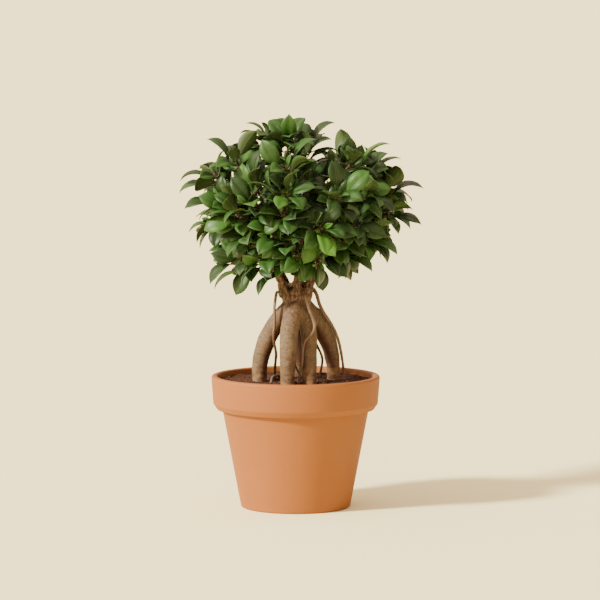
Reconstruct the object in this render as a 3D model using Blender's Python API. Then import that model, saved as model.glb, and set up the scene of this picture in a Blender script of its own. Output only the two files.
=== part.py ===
"""Ginseng ficus in its clay pot.

A grafted fig with a swollen root stock: five tuber roots meet in a short neck, six grafted limbs rise
from it, and leafy shoots grow from the limbs into a dense crown. The roots and the soil fill a round
clay pot with a thick rim band. Sizes are in millimetres and become metres when a mesh is made. The
origin is the centre of the pot's base, +Z is up and the front faces -Y.
"""
import math
import random

import bmesh
import bpy
from mathutils import Matrix, Vector, noise
from mathutils.bvhtree import BVHTree

MM = 0.001
GAP = 0.3
SEED = 11

# Clay pot, a standard one of 17 cm across its rim.
POT_HEIGHT = 133.0
RIM_RADIUS = 85.0
BAND_FOOT_RADIUS = 82.9
BAND_FOOT_Z = 104.9
BODY_TOP_RADIUS = 73.7
BODY_TOP_Z = 98.8
BASE_RADIUS = 55.0
BASE_EDGE = 3.0
WALL = 6.5
FLOOR = 8.0
LIP = 2.2
# The ledge under the rim band, outwards and up from the top of the body.
BAND_LEDGE = (5.5, 0.6)
# The inner wall steps out behind the rim band, from a bend this far below the body's top.
INNER_BEND_DROP = 3.0
INNER_BEND_RISE = 2.0
POT_SEGMENTS = 36
DRAIN_HOLES = 3
DRAIN_RADIUS = 6.0
DRAIN_CIRCLE = 30.0
DRAIN_TURN = 0.25
DRAIN_SIDES = 10
CUT_SPARE = 1.0

# Soil, a little lower than the rim, lumpy on top and level at its edge.
SOIL_Z = 127.0
SOIL_RINGS = (26.0, 54.0)
SOIL_EDGE = 0.5
SOIL_LUMP = 2.2
SOIL_LUMP_SPAN = 14.0
SOIL_LUMP_SLICE = 3.0
ROOT_END_Z = 109.0
HOLE_CLEARANCE = 0.9
HOLE_TOP = 12.0
TUBER_HOLE_SIDES = 12
AIR_HOLE_SIDES = 8

# Tuber roots as stations of x, y, z and radius, from inside the neck down into the soil.
TUBER_ROUTES = {
    "left": (
        (-3, 0, 201, 10.5), (-11.5, -1, 195, 10.0), (-21, -3, 184, 9.5), (-29, -3, 169, 9.4),
        (-34.5, -3, 153, 8.8), (-36.5, -3, 139, 8.2), (-36, -3, 127, 7.6), (-36, -3, 103, 7.2),
    ),
    "front_left": (
        (0, -5, 203, 10), (-2.6, -17.5, 197, 9.8), (-5.8, -27, 184, 9.7), (-7.1, -31.5, 169, 9.3),
        (-7.6, -32.5, 155, 8.8), (-7.9, -32, 142, 8.0), (-8.2, -32, 129, 7.2), (-8.2, -32, 103, 6.9),
    ),
    "front_right": (
        (4, -1, 202, 10), (9.5, -6, 196, 9.6), (12.4, -10, 184, 9.2), (13.6, -13.5, 170, 8.7),
        (14.0, -17.5, 156, 8.0), (14.0, -21, 142, 7.6), (13.9, -22.5, 129, 7.3), (13.9, -22.5, 103, 7.1),
    ),
    "right": (
        (5, 2, 201, 10.5), (12.5, 5, 196.5, 10.4), (22.3, 8, 186.5, 10.2), (30.2, 10, 172, 9.7),
        (35.2, 11, 158, 8.6), (37.6, 11, 145, 7.6), (38.2, 11, 132, 7.0), (38.2, 11, 103, 6.8),
    ),
    "back": (
        (2, 4, 201, 10.5), (3, 15, 193, 10), (4.5, 25, 179, 9.2), (5, 33, 162, 8.4), (5, 38, 145, 7.7),
        (5, 40, 129, 7.3), (5, 40, 103, 7),
    ),
}
NECK_ROUTE = ((2, 1, 188, 11), (2, 0, 197, 14.5), (1.8, 0, 206, 13.6), (1.2, 0, 213, 14.6), (0.5, 0, 218, 13))
# Knobs where the grafts have grown together with the neck, as x, y, z and radius.
GRAFT_KNOBS = ((-11.5, -3, 217.5, 5.8), (2.5, -8.5, 216, 6.6), (12, -2.5, 217, 6.2), (-6.5, 8, 217, 6.4),
               (9, 8.5, 217, 6.4))
# The root stock is fused from tubes with this many sides, evened out and then thinned.
TUBER_SIDES = 12
NECK_SIDES = 16
LIMB_FOOT_SIDES = 10
ROUTE_STEPS = 3
TRUNK_VOXEL = 2.0
TRUNK_SMOOTHING = (0.5, 2)
TRUNK_TRIANGLES = 1300

# Grafted limbs as stations of x, y, z and radius, from inside the neck up into the crown.
LIMB_ROUTES = (
    ((-11, -3, 213, 4.6), (-15, -6, 228, 3.9), (-24, -12, 246, 3.5), (-35, -17, 264, 2.9),
     (-42, -19, 284, 2.2)),
    ((1.5, -7, 212, 4.2), (1.2, -8, 232, 3.7), (0, -12, 252, 3.3), (-4, -20, 274, 2.8),
     (-7, -26, 298, 2.2)),
    ((11.5, -2, 213, 4.4), (15.5, -3, 230, 3.5), (21, -5, 244, 3.2), (33, -9, 262, 2.8),
     (46, -11, 280, 2.2)),
    ((-7, 6, 212, 4.8), (-13, 16, 232, 3.9), (-23, 30, 252, 3.4), (-29, 41, 278, 2.2)),
    ((9, 7, 212, 4.8), (18, 18, 232, 3.9), (29, 31, 252, 3.4), (37, 42, 278, 2.2)),
    ((2, 6, 212, 4.8), (3, 9, 236, 3.9), (6, 8, 262, 3.4), (9, 5, 290, 2.8), (8, 3, 320, 2.0)),
)
LIMB_SIDES = 6
LIMB_STEPS = 2
LIMB_FLARE = 2.4

# Thin air roots as stations of x, y, z and radius. The first point is seated on the root stock.
AIR_ROUTES = {
    "aerial_root_1": (
        (-17, -7, 218, 1.4), (-20, -11, 212, 1.3), (-21.4, -15, 203, 1.2), (-20.8, -16.5, 191, 1.2),
        (-21.6, -16.5, 180, 1.2), (-22.2, -13, 171, 1.1), (-21, -8, 163, 1.1), (-19.3, -4, 155.5, 1.1),
        (-20.2, 2, 147, 1.1), (-20.9, 9, 139, 1.1), (-21.2, 14, 131, 1.1), (-21.2, 14, 118, 1.1),
    ),
    "aerial_root_2": (
        (17, 5, 220, 1.8), (21.3, 4, 214.5, 1.7), (23, 2, 207, 1.6), (26, 0, 199.3, 1.6),
        (31.2, 0, 191.5, 1.5), (37.6, 2, 181.5, 1.4), (42.5, 4, 170.5, 1.3), (45.3, 6, 158.5, 1.2),
        (47.4, 8, 145, 1.1), (49, 10, 132, 1.1), (49, 10, 118, 1.1),
    ),
    "aerial_root_3": (
        (9.7, -13.5, 215.5, 1.4), (11.3, -16, 208, 1.4), (13.7, -17.5, 201, 1.4), (17, -19, 192.8, 1.4),
        (19.2, -20, 186.2, 1.4), (18.7, -22, 180.5, 1.3), (15.3, -24, 175.8, 1.1), (10.3, -25, 171.5, 1.1),
        (7.8, -24.5, 166.4, 1.1), (7, -26, 158, 1.1), (6.6, -28, 148, 1.1), (4.5, -27, 140, 1.0),
        (3.4, -25, 131, 1.0), (3.4, -25, 118, 1.0),
    ),
    "aerial_root_4": (
        (20, 11, 171, 1.2), (20.5, 16, 163, 1.1), (24.5, 20, 155, 1.0), (27.5, 23, 147, 1.0),
        (26.5, 25, 139, 1.0), (24.8, 26, 131, 1.0), (24.8, 26, 118, 1.0),
    ),
    "aerial_root_5": (
        (-4, -20, 155, 1.1), (-2.5, -13, 149, 1.0), (0, -8, 142, 1.0), (3.2, -3.5, 135, 1.0),
        (4, -2, 130, 1.0), (4, -2, 118, 1.0),
    ),
}
SURFACE_ROOT = ((-24.5, -13, 118, 1.1), (-24.5, -13, 129.5, 1.1), (-23, -9, 132.2, 1.2),
                (-20, -1, 132.4, 1.2), (-17, 7, 132.0, 1.1), (-16, 10, 129.5, 1.0), (-16, 10, 118, 1.0))
AIR_SIDES = 6
AIR_HOLE_RADIUS = 2.1
AIR_LIFT = 2.2

# Crown, as an upright ellipsoid that the leaf tips fill.
CROWN_CENTRE = Vector((6.0, 0.0, 305.0))
CROWN_REACH = Vector((120.0, 118.0, 89.0))
CROWN_FLOOR_Z = 212.0
SPRAY_TIP_REACH = Vector((98.0, 95.0, 68.0))
SPRAY_LIFT = 0.3

# Shoots of the back half: how many, how the golden spiral lies that spreads them, and their depth.
BACK_SPRAYS = 20
BACK_SPREAD = 2.1
BACK_TURN = 0.6
BACK_EDGE = 0.08
BACK_DEPTH = (0.8, 1.0)
SPRAY_LOWEST = -0.82

# Shoots that show from the front, placed as they show from this far and high. Each has its tip as x, z
# and depth towards the viewer, then its leaves: the leaf tip's x and z, whether the leaf reaches towards
# the viewer (1), across (0) or away (-1), and how squarely its upper face meets the viewer.
FRONT_EYE = Vector((4.4, -3498.0, 550.0))
FRONT_SHOOTS = (
    ((-63, 352, 30), ((-88.5, 371.5, 0, 0.2), (-39, 379.5, 1, -0.7), (-75, 361, -1, 0.1),
                      (-79, 344, 1, 0.5))),
    ((-82, 335, 8), ((-71, 360, 0, 0.05), (-95.5, 334, 1, 0.6), (-116, 329, 0, 0.1), (-117, 316.5, 0, 0.2))),
    ((-74, 309, 35), ((-97.5, 314.5, 1, 0.8), (-119, 295, 0, 0.2), (-72, 325.5, 1, 0.3), (-84, 304, 1, 0.4))),
    ((-61, 298, 50), ((-93.5, 291, 0, 0.3), (-92.5, 279, 1, 0.6), (-81.5, 305, 1, 0.8), (-63, 286, 1, 0.5))),
    ((-84, 289, -10), ((-107.5, 277, 0, 0.1), (-96.5, 260.5, 0, 0.1), (-80.5, 262.5, 1, 0.2))),
    ((-47, 305, 65), ((-65, 333, 0, 0.75), (-38, 322.5, 1, 0.6), (-40, 296, 1, 0.8), (-56, 283, 0, 0.3))),
    ((-45, 330, 50), ((-34, 361, 1, 0.4), (-54, 347, 1, 0.5))),
    ((-9, 342, 62), ((-34, 370.5, 0, 0.85), (-25, 340, 1, 0.6), (21.5, 370.5, 0, 0.2), (15.5, 351, 1, -0.4))),
    ((-11, 317.5, 80), ((-46, 321.5, 0, 0.45), (-28, 341, 1, 0.3), (3.5, 341, 1, 0.3), (20.5, 323.5, 1, 0.5),
                        (-17, 303, 1, 0.7))),
    ((42, 314.5, 72), ((36, 350, 0, 0.65), (74, 339, 0, 0.7), (14.5, 320.5, 0, 0.1), (23.5, 335, 1, 0.4),
                       (16.5, 294, 0, 0.2))),
    ((25.5, 281, 80), ((-12.5, 294, 0, 0.75), (46, 305, 0, 0.8), (40, 253.5, 1, 0.95), (8.5, 246, 1, 0.7))),
    ((48, 267.5, 45), ((45, 246, 1, 0.6), (43, 230, 0, 0.3), (50, 230, 0, 0.3))),
    ((22.5, 248, 50), ((27.5, 217.5, 0, 0.8), (20.5, 219, -1, 0.4), (11.5, 240, 1, 0.6))),
    ((62, 284, 40), ((91.5, 273.5, 0, 0.75), (52, 307, 1, 0.6), (77, 306, 0, 0.35))),
    ((75, 272.5, 25), ((102.5, 254.5, 0, 0.3),)),
    ((95.5, 299, -5), ((126.5, 285, 0, 0.3), (115.5, 279, -1, 0.4), (103.5, 275, 0, 0.3),
                       (96.5, 314.5, 0, 0.8))),
    ((93.5, 322, -8), ((128.5, 321, 0, 0.2), (117.5, 307.5, -1, 0.2))),
    ((71, 318.5, 30), ((96.5, 322, 0, 0.8), (92, 305, 0, 0.35))),
    ((57, 349, 25), ((54, 374.5, 1, 0.9), (93.5, 366.5, 0, 0.1), (67, 365, -1, 0.5), (91.5, 356, -1, 0.4))),
    ((75, 340, 0), ((105.5, 352, 0, 0.1), (92.5, 342, 1, 0.5), (69, 363.5, 0, 0.3))),
    ((-8.5, 372.5, 15), ((-6.5, 396.5, 1, 0.9), (9.5, 391, -1, 0.15), (-31, 373.5, 1, -0.5))),
    ((-26, 376.5, -20), ((-50, 386.5, 0, 0.1), (-37, 375.5, 1, 0.5))),
    ((7.5, 367, 0), ((39, 388, 0, 0.2), (6, 381, 1, -0.6), (7.5, 386, -1, 0.7))),
    ((-68, 248, 5), ((-85.5, 256.5, 1, 0.9), (-86.5, 225, 0, 0.3))),
    ((-53, 246, 20), ((-82.5, 220, 0, 0.05), (-61, 213.5, 0, 0.7))),
    ((-49, 275, 45), ((-63, 251.5, 0, 0.7), (-76, 271.5, 0, 0.45), (-71, 264.5, 0, 0.2))),
    ((-26, 275, 68), ((-37, 256.5, 1, 0.5), (-30, 253.5, -1, 0.6))),
    ((-11, 295, 75), ((-31, 275, 0, 0.7), (-15, 267.5, 0, 0.3), (0, 293, 1, 0.8))),
    ((-34, 248, 45), ((-29, 231, 1, 0.8), (-54, 222, 0, 0.05), (-38, 213.5, 0, 0.35), (-30, 215, 1, 0.8),
                      (-23, 219, 0, 0.35))),
    ((1.5, 254.5, 62), ((-15, 240, 1, 0.8), (-8, 230, 0, 0.35), (7.5, 228, 0, 0.35))),
    ((55, 262.5, 15), ((73, 253.5, 1, 0.35), (79, 239, 0, 0.3), (81, 260.5, -1, 0.15), (63, 233, 0, 0.3))),
)
# Span of a front leaf from its twig to its tip, its least and greatest length, how much flatter a leaf is
# that faces the viewer, and the play that later tries take in place and in roll.
FRONT_LEAF_SPAN = 33.0
FRONT_BLADE = 30.0
FRONT_LEAF_LENGTH = (19.0, 37.0)
FRONT_LEAF_TRIES = 12
FACING_FLATTER = 0.45
FRONT_LEAF_PLAY = 0.8
FRONT_LEAF_ROLL = 0.1
FRONT_LEAF_SLACK = 7.0
FRONT_MISS_COST = 0.12
STEEP = 0.8

# Shoots and their leaves.
TWIG_RADIUS = 1.5
TWIG_TIP_RADIUS = 1.1
TWIG_NODES = (2.5, 6.0, 10.0, 14.0, 18.5, 23.0, 28.0)
TWIG_SPAN = 17.0
TWIG_BARE = 6.0
TWIG_EASE = (0.33, 0.36)
TWIG_SAMPLES = 60
TWIG_SEAT = 2.0
TWIG_GUARD_LIFT = 0.6
LEAF_LENGTH = (27.0, 33.0)
LEAF_ARCH = (1.0, 1.8)
LEAF_WIDTH = 0.30
LEAF_THICKNESS = 1.2
LEAF_WIDE = ((0.33, 0.88), (0.68, 0.93))
LEAF_DROOP = 0.45
LEAF_SPREAD = 0.35
LEAF_FOLD = (0.1, 0.25)
LEAF_UPWARD = 0.75
LEAF_ROLL = 28.0
# Angle between leaf and twig at the bud, what each leaf further down adds, and its play, in degrees.
LEAF_OPENING = (38.0, 7.0, 12.0)
LEAF_TURN_PLAY = 0.5
LEAF_SHRINK = 0.012
FACET_LEAST = 0.25
PETIOLE = (4.5, 7.0)
PETIOLE_LONGEST = 11.0
STALK_LEAN = 0.45
STALK_OUTWARD = 0.6
STALK_START = 0.2
PETIOLE_RADIUS = 0.75
LEAVES_PER_SPRAY = 8
FRONT_LEAVES_PER_SPRAY = 7
LEAF_TRIES = 16
GUARD = 0.7
GOLDEN_ANGLE = math.radians(137.508)

# Where a twig leaves its limb: the steps along a limb, the costs of crowding and of turning back, and how
# many spots are tried.
LIMB_PLACE_STEPS = 6
CROWDED = 7.0
CROWDING_COST = 14.0
TURNING_COST = 22.0
TURNING_FREE = 0.2
START_TRIES = 24


def clear_scene():
    """Remove whatever the file holds."""
    for old in list(bpy.data.objects):
        bpy.data.objects.remove(old, do_unlink=True)


def material(name, colour, roughness):
    """A plain matte or glossy finish with a linear base colour."""
    finish = bpy.data.materials.new(name)
    finish.use_nodes = True
    shader = finish.node_tree.nodes["Principled BSDF"]
    shader.inputs["Base Color"].default_value = (*colour, 1.0)
    shader.inputs["Roughness"].default_value = roughness
    shader.inputs["Metallic"].default_value = 0.0
    return finish


def add_object(name, shape, finish, crease=40.0):
    """Turn a bmesh in millimetres into a named object in metres."""
    bmesh.ops.scale(shape, vec=(MM, MM, MM), verts=shape.verts)
    mesh = bpy.data.meshes.new(name)
    shape.to_mesh(mesh)
    shape.free()
    mesh.shade_smooth()
    mesh.set_sharp_from_angle(angle=math.radians(crease))
    mesh.materials.append(finish)
    obj = bpy.data.objects.new(name, mesh)
    bpy.context.scene.collection.objects.link(obj)
    return obj


def shape_of(obj):
    """The evaluated shape of an object, as a bmesh in millimetres."""
    bpy.context.view_layer.update()
    evaluated = obj.evaluated_get(bpy.context.evaluated_depsgraph_get())
    shape = bmesh.new()
    shape.from_mesh(evaluated.to_mesh())
    evaluated.to_mesh_clear()
    bmesh.ops.scale(shape, vec=(1 / MM, 1 / MM, 1 / MM), verts=shape.verts)
    return shape


def combine(obj, others, operation):
    """Join other objects to an object, or cut them out of it, then remove them."""
    group = bpy.data.collections.new("joined")
    bpy.context.scene.collection.children.link(group)
    for other in others:
        bpy.context.scene.collection.objects.unlink(other)
        group.objects.link(other)
    step = obj.modifiers.new("combine", "BOOLEAN")
    step.operation = operation
    step.solver = "EXACT"
    step.operand_type = "COLLECTION"
    step.collection = group
    result = shape_of(obj)
    obj.modifiers.remove(step)
    bmesh.ops.triangulate(result, faces=result.faces)
    bmesh.ops.scale(result, vec=(MM, MM, MM), verts=result.verts)
    result.to_mesh(obj.data)
    result.free()
    for other in others:
        bpy.data.objects.remove(other, do_unlink=True)
    bpy.data.collections.remove(group)


def smooth_route(stations, steps):
    """Centres and radii on a smooth curve through hand-set stations of x, y, z and radius."""
    knots = [Vector(station) for station in stations]
    knots = [2 * knots[0] - knots[1]] + knots + [2 * knots[-1] - knots[-2]]
    route = []
    for before, start, end, after in zip(knots, knots[1:], knots[2:], knots[3:]):
        for step in range(steps):
            t = step / steps
            point = 2 * start + (end - before) * t
            point += (2 * before - 5 * start + 4 * end - after) * t ** 2
            point += (3 * start - before - 3 * end + after) * t ** 3
            route.append(0.5 * point)
    route.append(knots[-2])
    return [point.to_3d() for point in route], [point[3] for point in route]


def ring_frames(centres, first_axis=None):
    """A tangent and two cross axes at each centre, carried along with no twist."""
    tangents = []
    for index in range(len(centres)):
        ahead = centres[min(index + 1, len(centres) - 1)]
        behind = centres[max(index - 1, 0)]
        tangents.append((ahead - behind).normalized())
    if first_axis is not None:
        tangents[0] = first_axis.normalized()
    across = tangents[0].orthogonal().normalized()
    frames = []
    for tangent in tangents:
        across = (across - tangent * across.dot(tangent)).normalized()
        frames.append((tangent, across, tangent.cross(across)))
    return frames


def tube(shape, centres, radii, sides, first_axis=None):
    """A closed round tube through the centres."""
    rings = []
    for centre, radius, frame in zip(centres, radii, ring_frames(centres, first_axis)):
        ring = []
        for side in range(sides):
            angle = math.tau * side / sides
            across = math.cos(angle) * frame[1] + math.sin(angle) * frame[2]
            ring.append(shape.verts.new(centre + radius * across))
        rings.append(ring)
    for lower, upper in zip(rings, rings[1:]):
        for side in range(sides):
            after = (side + 1) % sides
            shape.faces.new((lower[side], lower[after], upper[after], upper[side]))
    shape.faces.new(rings[0][::-1])
    shape.faces.new(rings[-1])


def tube_object(name, stations, sides, steps, finish):
    """A round tube along a smooth route, as an object."""
    shape = bmesh.new()
    centres, radii = smooth_route(stations, steps)
    tube(shape, centres, radii, sides)
    return add_object(name, shape, finish)


def turned(shape, profile, segments):
    """Spin a profile of radius and height round Z; its ends lie on the axis."""
    verts = [shape.verts.new((radius, 0, height)) for radius, height in profile]
    edges = [shape.edges.new(pair) for pair in zip(verts, verts[1:])]
    bmesh.ops.spin(shape, geom=verts + edges, cent=(0, 0, 0), axis=(0, 0, 1), angle=math.tau,
                   steps=segments, use_merge=True, use_duplicate=False)
    bmesh.ops.remove_doubles(shape, verts=shape.verts, dist=0.001)
    bmesh.ops.recalc_face_normals(shape, faces=shape.faces)


def inner_wall():
    """The pot's inside from its floor up to below the lip, as radius and height."""
    return ((BASE_RADIUS - WALL, FLOOR), (BODY_TOP_RADIUS - WALL, BODY_TOP_Z - INNER_BEND_DROP),
            (RIM_RADIUS - WALL - INNER_BEND_RISE, BAND_FOOT_Z + INNER_BEND_RISE),
            (RIM_RADIUS - WALL, POT_HEIGHT - LIP))


def upright_cylinder(x, y, radius, bottom, top, sides, finish):
    """A cutter for a plain round hole."""
    shape = bmesh.new()
    place = Matrix.Translation((x, y, (bottom + top) / 2))
    bmesh.ops.create_cone(shape, cap_ends=True, segments=sides, radius1=radius, radius2=radius,
                          depth=top - bottom, matrix=place)
    return add_object("hole", shape, finish)


def build_pot(finish):
    """The clay pot with its rim band, its hollow and the drain holes in its floor."""
    profile = [(0, 0), (BASE_RADIUS - BASE_EDGE, 0), (BASE_RADIUS, BASE_EDGE),
               (BODY_TOP_RADIUS, BODY_TOP_Z), (BODY_TOP_RADIUS + BAND_LEDGE[0], BODY_TOP_Z + BAND_LEDGE[1]),
               (BAND_FOOT_RADIUS, BAND_FOOT_Z), (RIM_RADIUS, POT_HEIGHT - LIP),
               (RIM_RADIUS - LIP, POT_HEIGHT), (RIM_RADIUS - WALL + LIP, POT_HEIGHT)]
    profile += list(inner_wall())[::-1]
    profile.append((0, FLOOR))
    shape = bmesh.new()
    turned(shape, profile, POT_SEGMENTS)
    pot = add_object("pot", shape, finish)
    holes = []
    for index in range(DRAIN_HOLES):
        angle = math.tau * (index + DRAIN_TURN) / DRAIN_HOLES
        holes.append(upright_cylinder(DRAIN_CIRCLE * math.cos(angle), DRAIN_CIRCLE * math.sin(angle),
                                      DRAIN_RADIUS, -CUT_SPARE, FLOOR + CUT_SPARE, DRAIN_SIDES, finish))
    combine(pot, holes, "DIFFERENCE")
    return pot


def soil_height(x, y):
    """Height of the lumpy soil, which is level where it meets the pot."""
    lump = noise.noise(Vector((x / SOIL_LUMP_SPAN, y / SOIL_LUMP_SPAN, SOIL_LUMP_SLICE)))
    return SOIL_Z + SOIL_LUMP * lump


def build_soil(finish, holes):
    """Soil that fills the pot, with a plain hole for each root as x, y, radius and depth."""
    wall = [(radius - GAP, height) for radius, height in inner_wall()]
    rim_radius = wall[-1][0] - SOIL_EDGE
    profile = [(0, SOIL_Z)] + [(radius, SOIL_Z) for radius in SOIL_RINGS]
    profile += [(rim_radius, SOIL_Z - SOIL_EDGE), (wall[2][0], wall[2][1]), (wall[1][0], wall[1][1] - GAP),
                (wall[0][0], FLOOR + GAP), (0, FLOOR + GAP)]
    shape = bmesh.new()
    turned(shape, profile, POT_SEGMENTS)
    for vert in shape.verts:
        if vert.co.z > SOIL_Z - SOIL_EDGE / 2:
            vert.co.z = soil_height(vert.co.x, vert.co.y)
    bmesh.ops.triangulate(shape, faces=shape.faces)
    soil = add_object("soil", shape, finish)
    cutters = []
    for x, y, radius, bottom, sides in holes:
        cutters.append(upright_cylinder(x, y, radius, bottom - GAP, SOIL_Z + HOLE_TOP, sides, finish))
    combine(soil, cutters, "DIFFERENCE")
    return soil


def build_trunk(finish):
    """The root stock with its grafted limbs, one grown body."""
    shape = bmesh.new()
    for stations in TUBER_ROUTES.values():
        centres, radii = smooth_route(stations, ROUTE_STEPS)
        tube(shape, centres, radii, TUBER_SIDES)
    centres, radii = smooth_route(NECK_ROUTE, ROUTE_STEPS)
    tube(shape, centres, radii, NECK_SIDES)
    for start, end in (stations[:2] for stations in LIMB_ROUTES):
        radii = [start[3] + LIMB_FLARE, end[3] + GAP]
        tube(shape, [Vector(start[:3]), Vector(end[:3])], radii, LIMB_FOOT_SIDES)
    for x, y, z, radius in GRAFT_KNOBS:
        bmesh.ops.create_icosphere(shape, subdivisions=2, radius=radius, matrix=Matrix.Translation((x, y, z)))
    trunk = add_object("trunk", shape, finish)
    skin = trunk.modifiers.new("skin", "REMESH")
    skin.mode = "VOXEL"
    skin.voxel_size = TRUNK_VOXEL * MM
    even = trunk.modifiers.new("even", "SMOOTH")
    even.factor, even.iterations = TRUNK_SMOOTHING
    grown = shape_of(trunk)
    bmesh.ops.triangulate(grown, faces=grown.faces)
    dense = len(grown.faces)
    trunk.modifiers.clear()
    bmesh.ops.scale(grown, vec=(MM, MM, MM), verts=grown.verts)
    grown.to_mesh(trunk.data)
    grown.free()
    lean = trunk.modifiers.new("lean", "DECIMATE")
    lean.ratio = TRUNK_TRIANGLES / dense
    grown = shape_of(trunk)
    trunk.modifiers.clear()
    cut = bmesh.ops.bisect_plane(grown, geom=grown.verts[:] + grown.edges[:] + grown.faces[:],
                                 plane_co=(0, 0, ROOT_END_Z), plane_no=(0, 0, -1), clear_outer=True)
    rims = [item for item in cut["geom_cut"] if isinstance(item, bmesh.types.BMEdge)]
    bmesh.ops.holes_fill(grown, edges=rims, sides=0)
    bmesh.ops.triangulate(grown, faces=grown.faces)
    bmesh.ops.scale(grown, vec=(MM, MM, MM), verts=grown.verts)
    grown.to_mesh(trunk.data)
    grown.free()
    limbs = [tube_object("limb", stations, LIMB_SIDES, LIMB_STEPS, finish) for stations in LIMB_ROUTES]
    combine(trunk, limbs, "UNION")
    trunk.data.shade_smooth()
    return trunk


def seat(tree, point):
    """The spot on a surface next to a point, just clear of it, with the way out from it."""
    spot, normal, index, distance = tree.find_nearest(point)
    return spot + normal * GAP, normal


def build_air_root(name, stations, tree, finish):
    """A thin root that leaves the root stock squarely and goes down into the soil."""
    start, normal = seat(tree, Vector(stations[0][:3]))
    radius = stations[0][3]
    lift = start + normal * AIR_LIFT
    stations = ((*start, radius), (*lift, radius)) + stations[1:]
    centres, radii = smooth_route(stations, 1)
    shape = bmesh.new()
    tube(shape, centres, radii, AIR_SIDES, first_axis=normal)
    return add_object(name, shape, finish)


class Space:
    """What already stands, as search trees with their boxes."""

    def __init__(self):
        self.trees = []

    def add(self, points, faces):
        """Let some triangles stand here from now on."""
        self.trees.append((BVHTree.FromPolygons(points, faces), *box_of(points)))

    def add_object(self, obj):
        shape = shape_of(obj)
        points = [vert.co.copy() for vert in shape.verts]
        faces = [tuple(vert.index for vert in face.verts) for face in shape.faces]
        shape.free()
        self.add(points, faces)

    def meets(self, points, faces):
        """Whether some triangles cut through anything that stands here."""
        low, high = box_of(points)
        tree = BVHTree.FromPolygons(points, faces)
        for other, other_low, other_high in self.trees:
            if any(low[axis] > other_high[axis] or high[axis] < other_low[axis] for axis in range(3)):
                continue
            if tree.overlap(other):
                return True
        return False


def box_of(points):
    """The lowest and highest x, y and z of some points."""
    low = [min(point[axis] for point in points) for axis in range(3)]
    high = [max(point[axis] for point in points) for axis in range(3)]
    return low, high


def bridge(lower, upper):
    """Triangles between two rings of four, alike on both faces of a blade: right, top, left, bottom."""
    right, top, left, bottom = lower
    right_on, top_on, left_on, bottom_on = upper
    return [(right, top, top_on), (right, top_on, right_on), (top, left, top_on), (left, left_on, top_on),
            (left, bottom, bottom_on), (left, bottom_on, left_on), (bottom, right, bottom_on),
            (right, right_on, bottom_on)]


class Leaf:
    """A blade on a short stalk: where the stalk ends, the chord, the face's normal and the sizes."""

    def __init__(self, stalk_end, chord, normal, length, width, arch, fold):
        self.stalk_end = stalk_end
        self.chord = chord.normalized()
        self.normal = (normal - self.chord * normal.dot(self.chord)).normalized()
        self.length = length
        self.width = width
        self.arch = arch
        self.fold = fold

    def station(self, t):
        """Point, way on and way up on the arched midrib, at a share of its length."""
        turn = self.arch * (0.5 - t)
        reach = self.length / self.arch
        along = reach * (math.sin(self.arch / 2) - math.sin(turn))
        above = reach * (math.cos(turn) - math.cos(self.arch / 2))
        point = self.stalk_end + self.chord * along + self.normal * above
        onward = self.chord * math.cos(turn) + self.normal * math.sin(turn)
        upward = self.normal * math.cos(turn) - self.chord * math.sin(turn)
        return point, onward, upward

    def ring(self, t, half_width, thickness):
        """Four points round the blade: the lifted right edge, the top, the left edge and the underside."""
        point, onward, upward = self.station(t)
        side = upward.cross(onward)
        lift = upward * self.fold * half_width
        return [point + side * half_width + lift, point + upward * thickness / 2,
                point - side * half_width + lift, point - upward * thickness / 2]

    def rings(self, spare=0.0):
        """Stalk end, the two wide places of the blade, and its tip, with room to spare round them."""
        wide = self.width * self.length
        thick = LEAF_THICKNESS + 2 * spare
        return [self.ring(0.0, PETIOLE_RADIUS + spare, 2 * PETIOLE_RADIUS + spare),
                self.ring(LEAF_WIDE[0][0], LEAF_WIDE[0][1] * wide + spare, thick),
                self.ring(LEAF_WIDE[1][0], LEAF_WIDE[1][1] * wide + spare, thick)]

    def tip(self, spare=0.0):
        """The blade's point, or a spot that far beyond it."""
        point, onward, upward = self.station(1.0)
        return point + onward * spare

    def guard(self):
        """A slightly fatter closed blade, to keep clear of the rest."""
        rings = self.rings(GUARD)
        points = [point for ring in rings for point in ring] + [self.tip(2 * GUARD)]
        faces = [(3, 2, 1), (3, 1, 0)]
        for first in (0, 4):
            faces += bridge(range(first, first + 4), range(first + 4, first + 8))
        faces += [(8 + side, 8 + (side + 1) % 4, 12) for side in range(4)]
        return points, faces


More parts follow.
